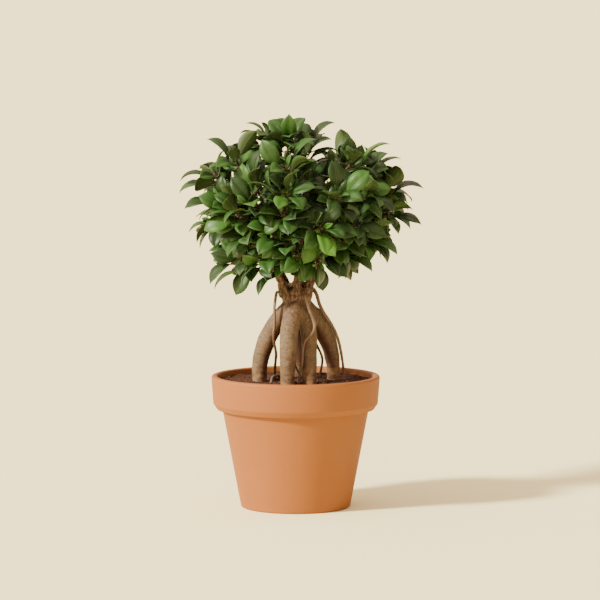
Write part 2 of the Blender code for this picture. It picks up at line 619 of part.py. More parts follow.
class Spray:
    """A leafy shoot: a four-sided twig whose leaves are drawn out of its facets."""

    def __init__(self, centres, radii, first_axis):
        self.centres = centres
        self.frames = ring_frames(centres, first_axis)
        self.points = []
        self.facets = {}
        self.leaves = 0
        self.room = 0
        self.wanted = ()
        for index, (centre, radius) in enumerate(zip(centres[:-1], radii[:-1])):
            for side in range(4):
                turn = math.tau * side / 4
                across = math.cos(turn) * self.frames[index][1] + math.sin(turn) * self.frames[index][2]
                self.points.append(centre + radius * across)
        self.rings = len(centres) - 1
        self.points.append(centres[-1])
        bud = len(self.points) - 1
        last = 4 * (self.rings - 1)
        self.faces = [(2, 1, 0), (3, 2, 0)]
        self.faces += [(last + side, last + (side + 1) % 4, bud) for side in range(4)]
        for ring in range(self.rings - 1):
            for side in range(4):
                low = 4 * ring + side
                low_on = 4 * ring + (side + 1) % 4
                self.facets[ring, side] = (low, low_on, low_on + 4, low + 4)

    def twig(self):
        """The bare twig's own points and triangles."""
        faces = list(self.faces[:6])
        for ring in range(self.rings - 1):
            for side in range(4):
                low = 4 * ring + side
                low_on = 4 * ring + (side + 1) % 4
                faces += [(low, low_on, low_on + 4), (low, low_on + 4, low + 4)]
        return self.points[:4 * self.rings + 1], faces

    def facet_middle(self, key):
        """The middle of a facet of the twig and the way it looks."""
        corners = [self.points[index] for index in self.facets[key]]
        middle = sum(corners, Vector()) / 4
        outward = (corners[2] - corners[0]).cross(corners[3] - corners[1]).normalized()
        return middle, outward

    def stalk_base(self, key, ring):
        """A facet's corners, in the order that meets a ring of the leaf with the least twist."""
        base = self.facets[key]
        middle, outward = self.facet_middle(key)
        ring_middle = sum(ring, Vector()) / 4
        best = max(range(4), key=lambda shift: sum(
            (self.points[base[(corner + shift) % 4]] - middle).normalized().dot(
                (ring[corner] - ring_middle).normalized()) for corner in range(4)))
        return [base[(corner + best) % 4] for corner in range(4)]

    def stalk(self, key, leaf):
        """The leaf's stalk from just off the facet, as points and triangles."""
        ring = leaf.rings()[0]
        base = [self.points[index] for index in self.stalk_base(key, ring)]
        points = [corner.lerp(end, STALK_START) for corner, end in zip(base, ring)]
        return points + ring, bridge(range(4), range(4, 8))

    def grow(self, key, leaf):
        """Draw a leaf out of a facet of the twig."""
        self.leaves += 1
        rings = leaf.rings()
        lower = self.stalk_base(key, rings[0])
        del self.facets[key]
        for ring in rings:
            first = len(self.points)
            self.points += ring
            upper = list(range(first, first + 4))
            self.faces += bridge(lower, upper)
            lower = upper
        self.points.append(leaf.tip())
        tip = len(self.points) - 1
        self.faces += [(lower[corner], lower[(corner + 1) % 4], tip) for corner in range(4)]

    def grow_clear(self, key, leaf):
        """Draw a leaf out of a facet, unless the shoot would then cut through itself."""
        kept = len(self.points), len(self.faces), self.facets[key]
        self.grow(key, leaf)
        blade = self.faces[kept[1]:]
        others = self.all_faces()
        tree = BVHTree.FromPolygons(self.points, others)
        crossings = BVHTree.FromPolygons(self.points, blade).overlap(tree)
        if all(set(blade[one]) & set(others[two]) for one, two in crossings):
            return True
        del self.points[kept[0]:]
        del self.faces[kept[1]:]
        self.facets[key] = kept[2]
        self.leaves -= 1
        return False

    def all_faces(self):
        """The shoot's triangles, with two for each facet that has no leaf."""
        faces = list(self.faces)
        for low, low_on, high_on, high in self.facets.values():
            faces += [(low, low_on, high_on), (low, high_on, high)]
        return faces

    def build(self, name, finish):
        """The shoot as an object."""
        mesh = bpy.data.meshes.new(name)
        mesh.from_pydata([point * MM for point in self.points], [], self.all_faces())
        mesh.materials.append(finish)
        obj = bpy.data.objects.new(name, mesh)
        bpy.context.scene.collection.objects.link(obj)
        return obj


def twig_stations(length):
    """Distances from the shoot's root to its rings, with short steps where leaves grow."""
    leafy = [length - back for back in TWIG_NODES if length - back > TWIG_BARE]
    bare = leafy[-1]
    pieces = max(1, round(bare / TWIG_SPAN))
    return [bare * piece / pieces for piece in range(pieces)] + leafy[::-1]


def twig_route(start, first_axis, tip, last_axis):
    """Centres and radii of a twig that leaves its limb squarely and ends along its own way."""
    span = (tip - start).length
    knots = (start, start + first_axis * span * TWIG_EASE[0], tip - last_axis * span * TWIG_EASE[1], tip)
    samples = []
    for step in range(TWIG_SAMPLES + 1):
        t = step / TWIG_SAMPLES
        samples.append(knots[0] * (1 - t) ** 3 + knots[1] * 3 * t * (1 - t) ** 2
                       + knots[2] * 3 * t ** 2 * (1 - t) + knots[3] * t ** 3)
    travelled = [0.0]
    for before, after in zip(samples, samples[1:]):
        travelled.append(travelled[-1] + (after - before).length)
    length = travelled[-1]
    centres = []
    for station in twig_stations(length):
        index = max(place for place in range(TWIG_SAMPLES) if travelled[place] <= station)
        share = (station - travelled[index]) / (travelled[index + 1] - travelled[index])
        centres.append(samples[index].lerp(samples[index + 1], share))
    centres.append(tip)
    count = len(centres)
    radii = [TWIG_RADIUS + (TWIG_TIP_RADIUS - TWIG_RADIUS) * place / (count - 1) for place in range(count)]
    return centres, radii


def limb_places():
    """Spots along the outer two thirds of every limb, with the limb's radius and way there."""
    places = []
    for stations in LIMB_ROUTES:
        centres, radii = smooth_route(stations, LIMB_PLACE_STEPS)
        for index in range(len(centres) // 3, len(centres)):
            way = (centres[index] - centres[index - 1]).normalized()
            places.append((centres[index], radii[index], way))
    return places


def start_cost(place, tip, used):
    """How far a twig's start lies from its tip, dearer where twigs crowd or it would turn back."""
    centre, radius, way = place
    towards = tip - centre
    crowding = sum(1 for other in used if (other - centre).length < CROWDED)
    turning = max(0.0, TURNING_FREE - towards.normalized().dot(way))
    return towards.length + CROWDING_COST * crowding + TURNING_COST * turning


def place_spray(tip, way, places, used, tree, space):
    """A twig from the best free spot on a limb to the shoot's tip, or None."""
    for place in sorted(places, key=lambda each: start_cost(each, tip, used))[:START_TRIES]:
        centre, radius, limb_way = place
        towards = tip - centre
        sideways = towards - limb_way * towards.dot(limb_way)
        start, normal = seat(tree, centre + sideways.normalized() * (radius + TWIG_SEAT))
        centres, radii = twig_route(start, normal, tip, way)
        spray = Spray(centres, radii, normal)
        guard = Spray([start + normal * TWIG_GUARD_LIFT] + centres[1:], [radius + GUARD for radius in radii],
                      normal)
        if space.meets(*guard.twig()) or space.meets(*spray.twig()):
            continue
        used.append(centre)
        return spray
    return None


def behind_front(x, z, depth):
    """The place that shows at x and z from the front and stands that far towards the viewer."""
    plane_spot = Vector((x, 0.0, z))
    return plane_spot.lerp(FRONT_EYE, -depth / FRONT_EYE.y)


def back_tips(rng):
    """Shoot tips over the back half of the crown, spread evenly by the golden angle."""
    tips = []
    index = 0
    while len(tips) < BACK_SPRAYS:
        index += 1
        rise = 1.0 - (index - 0.5) / (BACK_SPREAD * BACK_SPRAYS) * (1.0 - SPRAY_LOWEST)
        level = math.sqrt(1.0 - rise ** 2)
        turn = index * GOLDEN_ANGLE + BACK_TURN
        direction = Vector((level * math.cos(turn), level * math.sin(turn), rise))
        if direction.y < BACK_EDGE:
            continue
        depth = rng.uniform(*BACK_DEPTH)
        tip = CROWN_CENTRE + Vector(direction[axis] * SPRAY_TIP_REACH[axis] * depth for axis in range(3))
        tips.append(tip)
    return tips


def outward_way(tip):
    """The way a shoot ends: out of the crown and a little up."""
    offset = tip - CROWN_CENTRE
    direction = Vector(offset[axis] / SPRAY_TIP_REACH[axis] for axis in range(3)).normalized()
    return (direction + Vector((0, 0, SPRAY_LIFT))).normalized()


def inside_crown(point):
    """Whether a leaf's tip keeps to the crown's round form."""
    offset = point - CROWN_CENTRE
    reach = sum((offset[axis] / CROWN_REACH[axis]) ** 2 for axis in range(3))
    return reach < 1.0 and point.z > CROWN_FLOOR_Z


def leaf_normal(chord, point, roll):
    """The way a blade faces: up and out of the crown, turned a little about its own length."""
    outward = (point - CROWN_CENTRE).normalized()
    normal = Vector((0, 0, LEAF_UPWARD)) + outward * LEAF_UPWARD
    normal -= chord * normal.dot(chord)
    if normal.length < 0.2:
        normal = chord.orthogonal()
    return Matrix.Rotation(roll, 3, chord) @ normal.normalized()


def try_leaf(spray, key, leaf, space):
    """Grow a leaf from a facet if it stays clear of everything; say whether it did."""
    if space.meets(*leaf.guard()):
        return False
    stalk = spray.stalk(key, leaf)
    if space.meets(*stalk) or not spray.grow_clear(key, leaf):
        return False
    space.add(*stalk)
    space.add(*leaf.guard())
    return True


def stalk_way(chord, outward):
    """The way a stalk sets off: towards its leaf, but never too flat along its twig."""
    way = (chord + outward * STALK_OUTWARD).normalized()
    lack = STALK_LEAN - way.dot(outward)
    if lack > 0:
        way = (way + outward * (lack + STALK_LEAN)).normalized()
    return way


def front_leaf(spray, key, target, facing, rng, attempt):
    """A leaf from a facet to its tip as seen from the front, with a little play on later tries."""
    x, z, side = target
    middle, outward = spray.facet_middle(key)
    play = FRONT_LEAF_PLAY * attempt
    place = behind_front(x + rng.uniform(-play, play), z + rng.uniform(-play, play), -middle.y)
    across = place - middle
    depth = side * math.sqrt(max(0.0, FRONT_LEAF_SPAN ** 2 - across.length ** 2))
    towards = Vector((0, -1, 0))
    reach = across + towards * depth
    stalk = min(max(reach.length - FRONT_BLADE, PETIOLE[0]), PETIOLE_LONGEST)
    stalk_end = middle + stalk_way(reach.normalized(), outward) * stalk
    chord = middle + reach - stalk_end
    arch = rng.uniform(*LEAF_ARCH) * (1 - FACING_FLATTER * abs(facing))
    length = chord.length * (arch / 2) / math.sin(arch / 2)
    steep = abs(chord.normalized().z) > STEEP
    upright = Vector((math.copysign(1, x), 0, SPRAY_LIFT)) if steep else Vector((0, 0, 1))
    normal = towards * facing + upright * (1 - abs(facing))
    roll = rng.uniform(-FRONT_LEAF_ROLL, FRONT_LEAF_ROLL) * attempt
    normal = Matrix.Rotation(roll, 3, chord) @ normal
    return Leaf(stalk_end, chord, normal, length, LEAF_WIDTH, arch, rng.uniform(*LEAF_FOLD))


def facet_score(spray, key, target):
    """How well a facet looks towards a leaf's tip and lies a leaf's span from it."""
    x, z, side = target
    middle, outward = spray.facet_middle(key)
    across = behind_front(x, z, -middle.y) - middle
    spare = across.length - FRONT_LEAF_SPAN
    way = (across.normalized() + Vector((0, -0.5 * side, 0))).normalized()
    miss = max(spare, 0.0) + (0.0 if side else max(-spare - FRONT_LEAF_SLACK, 0.0))
    return outward.dot(way) - FRONT_MISS_COST * miss


def leaf_front(spray, leaves, rng, space):
    """The leaves of a front shoot that were read from the front view."""
    for x, z, side, facing in leaves:
        target = (x, z, side)
        keys = sorted(spray.facets, key=lambda each: -facet_score(spray, each, target))
        for attempt in range(FRONT_LEAF_TRIES):
            key = keys[attempt % min(3, len(keys))]
            leaf = front_leaf(spray, key, target, facing, rng, attempt)
            shortest, longest = FRONT_LEAF_LENGTH
            if shortest < leaf.length < longest and try_leaf(spray, key, leaf, space):
                break


def leaf_sprays(sprays, rng, space):
    """Leaves on every shoot, in turn round it at the golden angle, wider apart towards its root."""
    for rank in range(LEAVES_PER_SPRAY):
        for number, spray in enumerate(sprays):
            segment = spray.rings - 2 - rank // 2
            if segment < 0 or spray.leaves >= spray.room:
                continue
            tangent, across, upward = spray.frames[segment]
            for attempt in range(LEAF_TRIES):
                play = rng.uniform(-LEAF_TURN_PLAY, LEAF_TURN_PLAY) * (1 + attempt / 4)
                turn = rank * GOLDEN_ANGLE + number + play
                opening, further, play = LEAF_OPENING
                open_angle = math.radians(opening + further * rank + rng.uniform(-play, play))
                around = math.cos(turn) * across + math.sin(turn) * upward
                chord = tangent * math.cos(open_angle) + around * math.sin(open_angle)
                outward = (spray.centres[segment] - CROWN_CENTRE).normalized()
                chord = (chord + outward * LEAF_SPREAD - Vector((0, 0, LEAF_DROOP))).normalized()
                free = [key for key in spray.facets if key[0] in (segment, segment - 1) and key[0] >= 0]
                if not free:
                    break
                key = max(free, key=lambda each: spray.facet_middle(each)[1].dot(chord))
                if spray.facet_middle(key)[1].dot(chord) < FACET_LEAST:
                    continue
                length = rng.uniform(*LEAF_LENGTH) * (1 - LEAF_SHRINK * attempt)
                roll = math.radians(rng.uniform(-LEAF_ROLL, LEAF_ROLL) * (1 + attempt / 8))
                middle, facet_way = spray.facet_middle(key)
                stalk_end = middle + stalk_way(chord, facet_way) * rng.uniform(*PETIOLE)
                leaf = Leaf(stalk_end, chord, leaf_normal(chord, middle, roll), length, LEAF_WIDTH,
                            rng.uniform(*LEAF_ARCH), rng.uniform(*LEAF_FOLD))
                if inside_crown(leaf.tip()) and try_leaf(spray, key, leaf, space):
                    break


def build_crown(trunk, others, finish):
    """All the leafy shoots: the twigs first, then the leaves read from the front, then the rest."""
    rng = random.Random(SEED)
    shape = shape_of(trunk)
    tree = BVHTree.FromBMesh(shape)
    shape.free()
    space = Space()
    for obj in (trunk, *others):
        space.add_object(obj)
    places = limb_places()
    used = []
    sprays = []
    wanted = [(behind_front(*tip), leaves) for tip, leaves in FRONT_SHOOTS]
    wanted += [(tip, ()) for tip in back_tips(rng)]
    for tip, leaves in wanted:
        spray = place_spray(tip, outward_way(tip), places, used, tree, space)
        if spray is None:
            continue
        space.add(*spray.twig())
        sprays.append(spray)
        spray.wanted = leaves
        spray.room = FRONT_LEAVES_PER_SPRAY if leaves else LEAVES_PER_SPRAY
    for spray in sprays:
        leaf_front(spray, spray.wanted, rng, space)
    leaf_sprays(sprays, rng, space)
    for number, spray in enumerate(sprays, start=1):
        spray.build(f"spray_{number:02d}", finish)


def main():
    clear_scene()
    clay = material("terracotta", (0.55, 0.22, 0.10), 0.85)
    earth = material("potting_soil", (0.03, 0.022, 0.018), 0.95)
    bark = material("root_bark", (0.30, 0.21, 0.13), 0.8)
    thin_bark = material("air_root_bark", (0.20, 0.09, 0.05), 0.7)
    leaf = material("ficus_leaf", (0.10, 0.20, 0.05), 0.4)
    pot = build_pot(clay)
    trunk = build_trunk(bark)
    shape = shape_of(trunk)
    tree = BVHTree.FromBMesh(shape)
    shape.free()
    thin = []
    holes = []
    for stations in TUBER_ROUTES.values():
        x, y = stations[-1][:2]
        holes.append((x, y, stations[-2][3] + HOLE_CLEARANCE, ROOT_END_Z, TUBER_HOLE_SIDES))
    for name, stations in AIR_ROUTES.items():
        thin.append(build_air_root(name, stations, tree, thin_bark))
        x, y, z = stations[-1][:3]
        holes.append((x, y, AIR_HOLE_RADIUS, z, AIR_HOLE_SIDES))
    thin.append(tube_object("surface_root", SURFACE_ROOT, AIR_SIDES, 1, thin_bark))
    for x, y, z, radius in (SURFACE_ROOT[0], SURFACE_ROOT[-1]):
        holes.append((x, y, AIR_HOLE_RADIUS, z, AIR_HOLE_SIDES))
    build_soil(earth, holes)
    build_crown(trunk, [pot, *thin], leaf)


main()
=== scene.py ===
"""The looks of a ginseng ficus in its clay pot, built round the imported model.

The model gives every size and place. Each leafy shoot's solid says where its leaves stand and how they arch.
The script grows thin, veined blades there, and fills the inside of the crown with leaves on the old wood.
"""
import math
import random

import bmesh
import bpy
from bpy.props import FloatProperty, FloatVectorProperty, IntProperty, PointerProperty
from mathutils import Matrix, Vector, noise
from mathutils.bvhtree import BVHTree


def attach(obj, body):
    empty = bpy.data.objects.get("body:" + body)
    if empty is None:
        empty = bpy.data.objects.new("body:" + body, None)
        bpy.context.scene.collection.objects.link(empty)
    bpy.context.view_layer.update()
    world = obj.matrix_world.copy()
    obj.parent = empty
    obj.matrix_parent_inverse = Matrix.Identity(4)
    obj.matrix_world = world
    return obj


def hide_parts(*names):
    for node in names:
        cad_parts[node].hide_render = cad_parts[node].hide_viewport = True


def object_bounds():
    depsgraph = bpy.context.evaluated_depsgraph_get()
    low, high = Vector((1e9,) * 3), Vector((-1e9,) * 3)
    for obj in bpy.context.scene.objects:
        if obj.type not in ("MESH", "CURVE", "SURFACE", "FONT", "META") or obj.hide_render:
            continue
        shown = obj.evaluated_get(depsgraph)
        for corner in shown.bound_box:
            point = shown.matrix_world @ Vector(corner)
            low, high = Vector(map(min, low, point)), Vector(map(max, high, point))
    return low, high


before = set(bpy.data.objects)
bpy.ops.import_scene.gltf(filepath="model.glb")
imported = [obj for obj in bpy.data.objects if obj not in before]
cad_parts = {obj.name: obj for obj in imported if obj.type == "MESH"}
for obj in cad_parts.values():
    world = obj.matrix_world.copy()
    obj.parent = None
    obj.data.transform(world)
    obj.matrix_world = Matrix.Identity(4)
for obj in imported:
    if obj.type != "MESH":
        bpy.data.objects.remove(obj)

CAD_LOW, CAD_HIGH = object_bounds()

bl_info = {
    "name": "Ginseng Ficus",
    "version": (1, 0, 0),
    "blender": (4, 5, 0),
    "location": "3D View > Sidebar > Ficus",
    "description": "Dresses the packed ginseng ficus with bark, leaves, soil and fired clay",
    "category": "Object",
}

MM = 0.001
GOLDEN_ANGLE = math.radians(137.508)

# Every size below is in millimetres, apart from the stage's.
# Pot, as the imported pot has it. Each pair is a radius and a height.
POT_HEIGHT = 133.0
RIM_RADIUS = 85.0
BAND_FOOT = (82.9, 104.9)
BAND_STEP = (79.2, 99.4)
BODY_TOP = (73.7, 98.8)
BASE_RADIUS = 55.0
WALL = 6.5
FLOOR = 8.0
INNER_BODY_TOP = (BODY_TOP[0] - WALL, BODY_TOP[1] - 3)
INNER_BASE_RADIUS = BASE_RADIUS - WALL
POT_STEPS = 180
ARC_STEPS = 5
DRAINS = 3
DRAIN_CIRCLE = 30.0
DRAIN_RADIUS = 6.0
SHARP_EDGE = math.radians(50)

# Soil: its level and edge, and the height and span of its lumps, clods and grains.
SOIL_Z = 127.0
SOIL_RADIUS = 77.9
SOIL_GAP = 0.4
SOIL_STEPS = 260
SOIL_RINGS = 62
LUMP = (2.2, 14.0)
CLOD = (0.8, 5.5)
GRAIN = (0.5, 2.3)
CRUMB_REACH = 75.0
FINE_CRUMB = (0.5, 1.1)
COARSE_CRUMB = (1.2, 2.2)
FINE_SHARE = 0.9
# A crumb's stretch along its length and across it, and how dry and brown the crumbs look.
CRUMB_LONG = (0.7, 1.3)
CRUMB_ACROSS = (0.6, 1.0)
CRUMB_SHADES = (0.0, 0.1, 0.2, 0.4, 0.7)
SOIL_SEED = 5
# Feet of the tubers in the soil, as x, y and radius: no crumb lies there.
ROOT_SPOTS = ((-36, -3, 8.5), (-8.2, -32, 8.0), (13.9, -22.5, 8.0), (38.2, 11, 7.8), (5, 40, 8.0))

# Root stock: the arch of the tubers turns about a ring this far out and this high.
ARCH_RADIUS = 12.0
ARCH_Z = 150.0
ARCH_REACH = 24.0
NECK_Z = 203.0
# The wrinkles that ring a tuber: how far they run round it, and the way along it from one to the next.
WRINKLE_RUN = 16.0
WRINKLE_STEP = 1.3
SLOW_WRINKLE_RUN = 9.0
SLOW_WRINKLE_STEP = 3.4
SWELLING = (0.45, 11.0)
# Rough bark: where it starts above the neck, where it is full, and the height and span of its knots.
ROUGH_FOOT_Z = 196.0
ROUGH_FULL_Z = 208.0
ROUGH_TOP_Z = 262.0
ROUGH_FADE = 40.0
BARK_KNOT = (0.75, 4.2)
# How finely a packed root is subdivided, and how the root stock's skin is then remeshed and evened out.
ROOT_LEVELS = 2
SKIN_VOXEL = 0.8
SKIN_ROUNDS = 3
# Air roots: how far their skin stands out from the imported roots, and the height and span of their knots.
AIR_ROOT_SWELL = 0.42
AIR_ROOT_KNOT = (0.2, 4.5)
AIR_ROOT_FINE_KNOT = 1.8

# Leaf blade: its half width at shares of its length, as a share of the widest.
BLADE_OUTLINE = ((0.0, 0.05), (0.07, 0.24), (0.18, 0.56), (0.31, 0.84), (0.45, 0.98), (0.58, 0.99),
                 (0.70, 0.88), (0.80, 0.67), (0.88, 0.41), (0.935, 0.19), (0.97, 0.08), (1.0, 0.012))
BLADE_ACROSS = 4
# How much the blade's lengthwise rows crowd towards the midrib, which makes its fold a crease.
CREASE = 1.6
SIDE_VEINS = 12
# How far the blade's halves rise to its edge and bend back, as shares of its half width.
FOLD_RISE = 0.18
FOLD_BACK = 0.14
EDGE_WAVE = (0.02, 0.06)
TIP_DROOP = (0.0, 0.12)
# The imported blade's two wide rings: where they stand along the midrib, and the first's share of the widest.
BLADE_STATIONS = (0.0, 0.33, 0.68, 1.0)
WIDE_SHARE = 0.88
# A packed blade is drawn this much slimmer, because its corners stand out past a real leaf's round edge.
SLIMMING = 0.92
# What tells a blade's tip from other corners: the ring below it is at least this wide and at most this thick.
NARROWEST_BLADE = 5.0
THICKEST_BLADE = 2.5
# A twig's bud is the corner whose neighbours lie at most this far apart.
BUD_SPREAD = 3.2
# Tips, as x and z, of the large leaves that show brighter from the front, and how bright each is drawn.
# The one at x -93.5, z 291 faces the light, and its brighter green is painted light; the others are younger
# leaves.
BRIGHT_LEAF_TIPS = ((29.0, 263.5, 1.0), (39.5, 259.5, 0.9), (8.5, 246.0, 0.7), (-93.5, 291.0, 0.6),
              (-6.5, 396.5, 0.45), (74.0, 339.0, 0.6), (-30.0, 275.0, 0.6))
BRIGHT_LEAF_REACH = 6.0
# How bright the other leaves look: the share of grown ones, and the range of the grown and of the young.
GROWN_SHARE = 0.93
GROWN_TINT = (0.0, 0.6)
YOUNG_TINT = (0.6, 0.8)
# Crown: its middle, its reach, and how far out, as a share of that, the leaves on the old wood end.
CROWN_CENTRE = Vector((6.0, 0.0, 305.0))
CROWN_REACH = Vector((120.0, 118.0, 89.0))
INNER_DEPTH = 0.84
CROWN_FLOOR_Z = 216.0
INNER_START = 7.0
INNER_END = 1.5
INNER_STEP = (4.5, 7.5)
INNER_LENGTH = (27.0, 36.0)
INNER_STALK = (4.5, 8.0)
INNER_HALF_WIDTH = 0.27
INNER_ARCH = (0.7, 1.7)
INNER_FOLD = (0.1, 0.25)
INNER_TINT = (0.0, 0.5)
INNER_TRIES = 9
# The small leaves at a shoot's tip.
TIP_LENGTH = (9.0, 15.0)
TIP_ARCH = (0.4, 0.9)
TIP_FOLD = (0.3, 0.5)
TIP_TINT = (0.45, 0.75)
TIP_SLIMMING = 0.7
STANDING_MARGIN = 9.0
CROWN_SEED = 3
# Twigs: a packed twig has corners and is drawn this much slimmer. The bud's stations lie past the twig's end.
TWIG_SLIMMING = 0.92
BUD_STEPS = (-1.0, 1.5, 4.5)
STALK_RADII = (0.85, 0.62, 0.58, 0.5)

# Stage, in metres and degrees: the camera stands where the photograph's did.
LENS_MM = 210.0
SENSOR_MM = 36.0
CAMERA_PLACE = (0.0044, -3.498, 0.550)
CAMERA_DIP = 5.57
VIEW_END = 300.0
FLOOR_REACH = 90.0


def linear(code):
    """An sRGB hex value as linear red, green, blue and full alpha."""
    channels = [int(code[place:place + 2], 16) / 255 for place in (1, 3, 5)]
    return (*[c / 12.92 if c <= 0.04045 else ((c + 0.055) / 1.055) ** 2.4 for c in channels], 1.0)


def colour_setting(name, about, code):
    """A colour that the sidebar shows, from its sRGB hex value."""
    return FloatVectorProperty(name=name, description=about, default=linear(code), size=4, subtype="COLOR",
                               min=0.0, max=1.0)


class FicusPotSettings(bpy.types.PropertyGroup):
    """Colours and grit of the pot's clay."""
    clay: colour_setting("Clay", "Fired terracotta where it is clean", "#8b5121")
    clay_pale: colour_setting("Pale clay", "Terracotta where the skin has a pale bloom", "#975c29")
    clay_deep: colour_setting("Deep clay", "Terracotta where it was fired harder", "#7d431b")
    grit: FloatProperty(name="Grit", description="Size of the fine sand in the clay", default=0.5 * MM,
                        unit="LENGTH")


class FicusSoilSettings(bpy.types.PropertyGroup):
    """Colours of the soil and number of its crumbs."""
    soil: colour_setting("Soil", "Damp potting soil", "#3a2318")
    crumb: colour_setting("Crumb", "Dry crumbs of peat and bark", "#523122")
    crumbs: IntProperty(name="Crumbs", description="Loose crumbs on top of the soil", default=900, min=0)


class FicusRootSettings(bpy.types.PropertyGroup):
    """Colours of the roots and the neck, and height of the wrinkles."""
    bark: colour_setting("Bark", "Grey tan skin of the tubers", "#6a5742")
    bark_dark: colour_setting("Dark bark", "Skin in the wrinkles and creases", "#37231a")
    neck: colour_setting("Neck", "Reddish rough bark of the neck and limbs", "#7c5e4c")
    rust: colour_setting("Rust", "Rusty flecks near the soil", "#683d18")
    air_root: colour_setting("Air root", "Skin of the thin air roots", "#6c5240")
    wrinkle: FloatProperty(name="Wrinkle", description="Height of the rings round the tubers",
                           default=0.14 * MM, unit="LENGTH")


class FicusLeafSettings(bpy.types.PropertyGroup):
    """Colours of the leaves and twigs, and thickness of a blade."""
    dark: colour_setting("Dark leaf", "Oldest leaves", "#1a3011")
    green: colour_setting("Leaf", "Grown leaves", "#2a4b1b")
    bright: colour_setting("Bright leaf", "Young leaves", "#447027")
    underside: colour_setting("Underside", "Pale matte underside of a leaf", "#374a21")
    midrib: colour_setting("Midrib", "Pale midrib and main veins", "#556d31")
    twig: colour_setting("Twig", "Bark of the leafy twigs", "#393219")
    thickness: FloatProperty(name="Thickness", description="Thickness of a blade", default=0.45 * MM,
                             unit="LENGTH")


class FicusStageSettings(bpy.types.PropertyGroup):
    """Floor and lights of the stage."""
    floor: colour_setting("Floor", "Pale plain floor", "#f9f3c3")
    light: colour_setting("Light", "Warm window light", "#fffae3")
    turn: FloatProperty(name="Turn", description="Way to the light, turned from -X towards the viewer",
                        default=math.radians(30), subtype="ANGLE")
    height: FloatProperty(name="Height", description="Height of the light over the horizon",
                          default=math.radians(30), subtype="ANGLE")
    softness: FloatProperty(name="Softness", description="How wide the light looks from the plant",
                            default=math.radians(8), subtype="ANGLE")
    power: FloatProperty(name="Power", description="Strength of the light", default=10.0, min=0.0)
    sky: colour_setting("Sky", "Light from all round", "#ffe1c8")
    ambient: FloatProperty(name="Ambient", description="Strength of the light from all round", default=1.62,
                           min=0.0)
    lean: FloatProperty(name="Lean", description="How much the light from all round leans to the left",
                        default=0.4, min=0.0, max=1.0)


def settings(name):
    """A group of this scene's settings."""
    return getattr(bpy.context.scene, name)


def add_node(tree, kind, inputs=None, out=0, **fields):
    """Add a node with its settings, fill or link its inputs, and give one of its outputs."""
    made = tree.nodes.new(kind)
    for name, value in fields.items():
        setattr(made, name, value)
    for name, value in (inputs or {}).items():
        if isinstance(value, bpy.types.NodeSocket):
            tree.links.new(value, made.inputs[name])
        else:
            made.inputs[name].default_value = value
    return made.outputs[out]


def start_material(name):
    """A new node material, its tree and its Principled shader."""
    finish = bpy.data.materials.new(name)
    finish.use_nodes = True
    return finish, finish.node_tree, finish.node_tree.nodes["Principled BSDF"]


def mixed(tree, share, first, second):
    """A colour between two colours."""
    return add_node(tree, "ShaderNodeMix", {0: share, 6: first, 7: second}, out=2, data_type="RGBA")


def ramped(tree, value, low, high, bottom=0.0, top=1.0):
    """A value eased from one range to another, held at its ends."""
    return add_node(tree, "ShaderNodeMapRange", {0: value, 1: low, 2: high, 3: bottom, 4: top},
                    interpolation_type="SMOOTHSTEP")


def speckle(tree, place, span, detail=3.0, rough=0.55):
    """Noise whose lumps are about one span across."""
    return add_node(tree, "ShaderNodeTexNoise", {"Vector": place, "Scale": 1 / span, "Detail": detail,
                                                 "Roughness": rough})


def stretched(tree, place, scale):
    """The same places, closer together along some axes, which draws a pattern out along the others."""
    return add_node(tree, "ShaderNodeMapping", {"Vector": place, "Scale": scale})


def bumped(tree, shader, height, distance, strength=1.0):
    """Give a shader a relief this deep."""
    made = add_node(tree, "ShaderNodeBump", {"Height": height, "Distance": distance, "Strength": strength})
    tree.links.new(made, shader.inputs["Normal"])


def terracotta():
    """Unglazed terracotta, turned on a wheel and fired."""
    # It gives a matte, warm orange with a soft pale bloom, faint turning rings and sand in the skin.
    # The sand is a few tenths of a millimetre, and is drawn a millimetre and a half across so that it shows.
    chosen = settings("ficus_pot")
    finish, tree, shader = start_material("terracotta_unglazed")
    place = add_node(tree, "ShaderNodeTexCoord", out=3)
    bloom = speckle(tree, place, 45 * MM, 4.0)
    turned_rings = speckle(tree, stretched(tree, place, (0.12, 0.12, 3.0)), 9 * MM, 3.0)
    sand = speckle(tree, place, 3 * chosen.grit, 2.0)
    colour = mixed(tree, ramped(tree, bloom, 0.35, 0.7, 0.0, 0.3), chosen.clay, chosen.clay_pale)
    colour = mixed(tree, ramped(tree, turned_rings, 0.5, 0.8, 0.0, 0.1), colour, chosen.clay_deep)
    colour = mixed(tree, ramped(tree, sand, 0.58, 0.75, 0.0, 0.2), colour, chosen.clay_deep)
    tree.links.new(colour, shader.inputs["Base Color"])
    tree.links.new(ramped(tree, bloom, 0.3, 0.7, 0.62, 0.78), shader.inputs["Roughness"])
    shader.inputs["Specular IOR Level"].default_value = 0.4
    grain = speckle(tree, place, chosen.grit, 2.0)
    relief = add_node(tree, "ShaderNodeMath", {0: turned_rings, 1: grain}, operation="ADD")
    bumped(tree, shader, relief, 0.12 * MM, 0.6)
    return finish


def potting_soil():
    """Damp peat soil, loose and crumbly."""
    # It gives a near black brown with no shine, broken up by drier, browner crumbs.
    # Peat grains are about half a millimetre, and are drawn near a millimetre across so that they show.
    chosen = settings("ficus_soil")
    finish, tree, shader = start_material("potting_soil")
    place = add_node(tree, "ShaderNodeTexCoord", out=3)
    tint = add_node(tree, "ShaderNodeAttribute", out=2, attribute_name="tint")
    patches = speckle(tree, place, 5 * MM, 4.0, 0.65)
    share = add_node(tree, "ShaderNodeMath", {0: ramped(tree, patches, 0.4, 0.7, 0.0, 0.7), 1: tint},
                     operation="ADD", use_clamp=True)
    tree.links.new(mixed(tree, share, chosen.soil, chosen.crumb), shader.inputs["Base Color"])
    shader.inputs["Roughness"].default_value = 0.95
    shader.inputs["Specular IOR Level"].default_value = 0.2
    bumped(tree, shader, speckle(tree, place, 0.9 * MM, 4.0, 0.7), 0.5 * MM)
    return finish


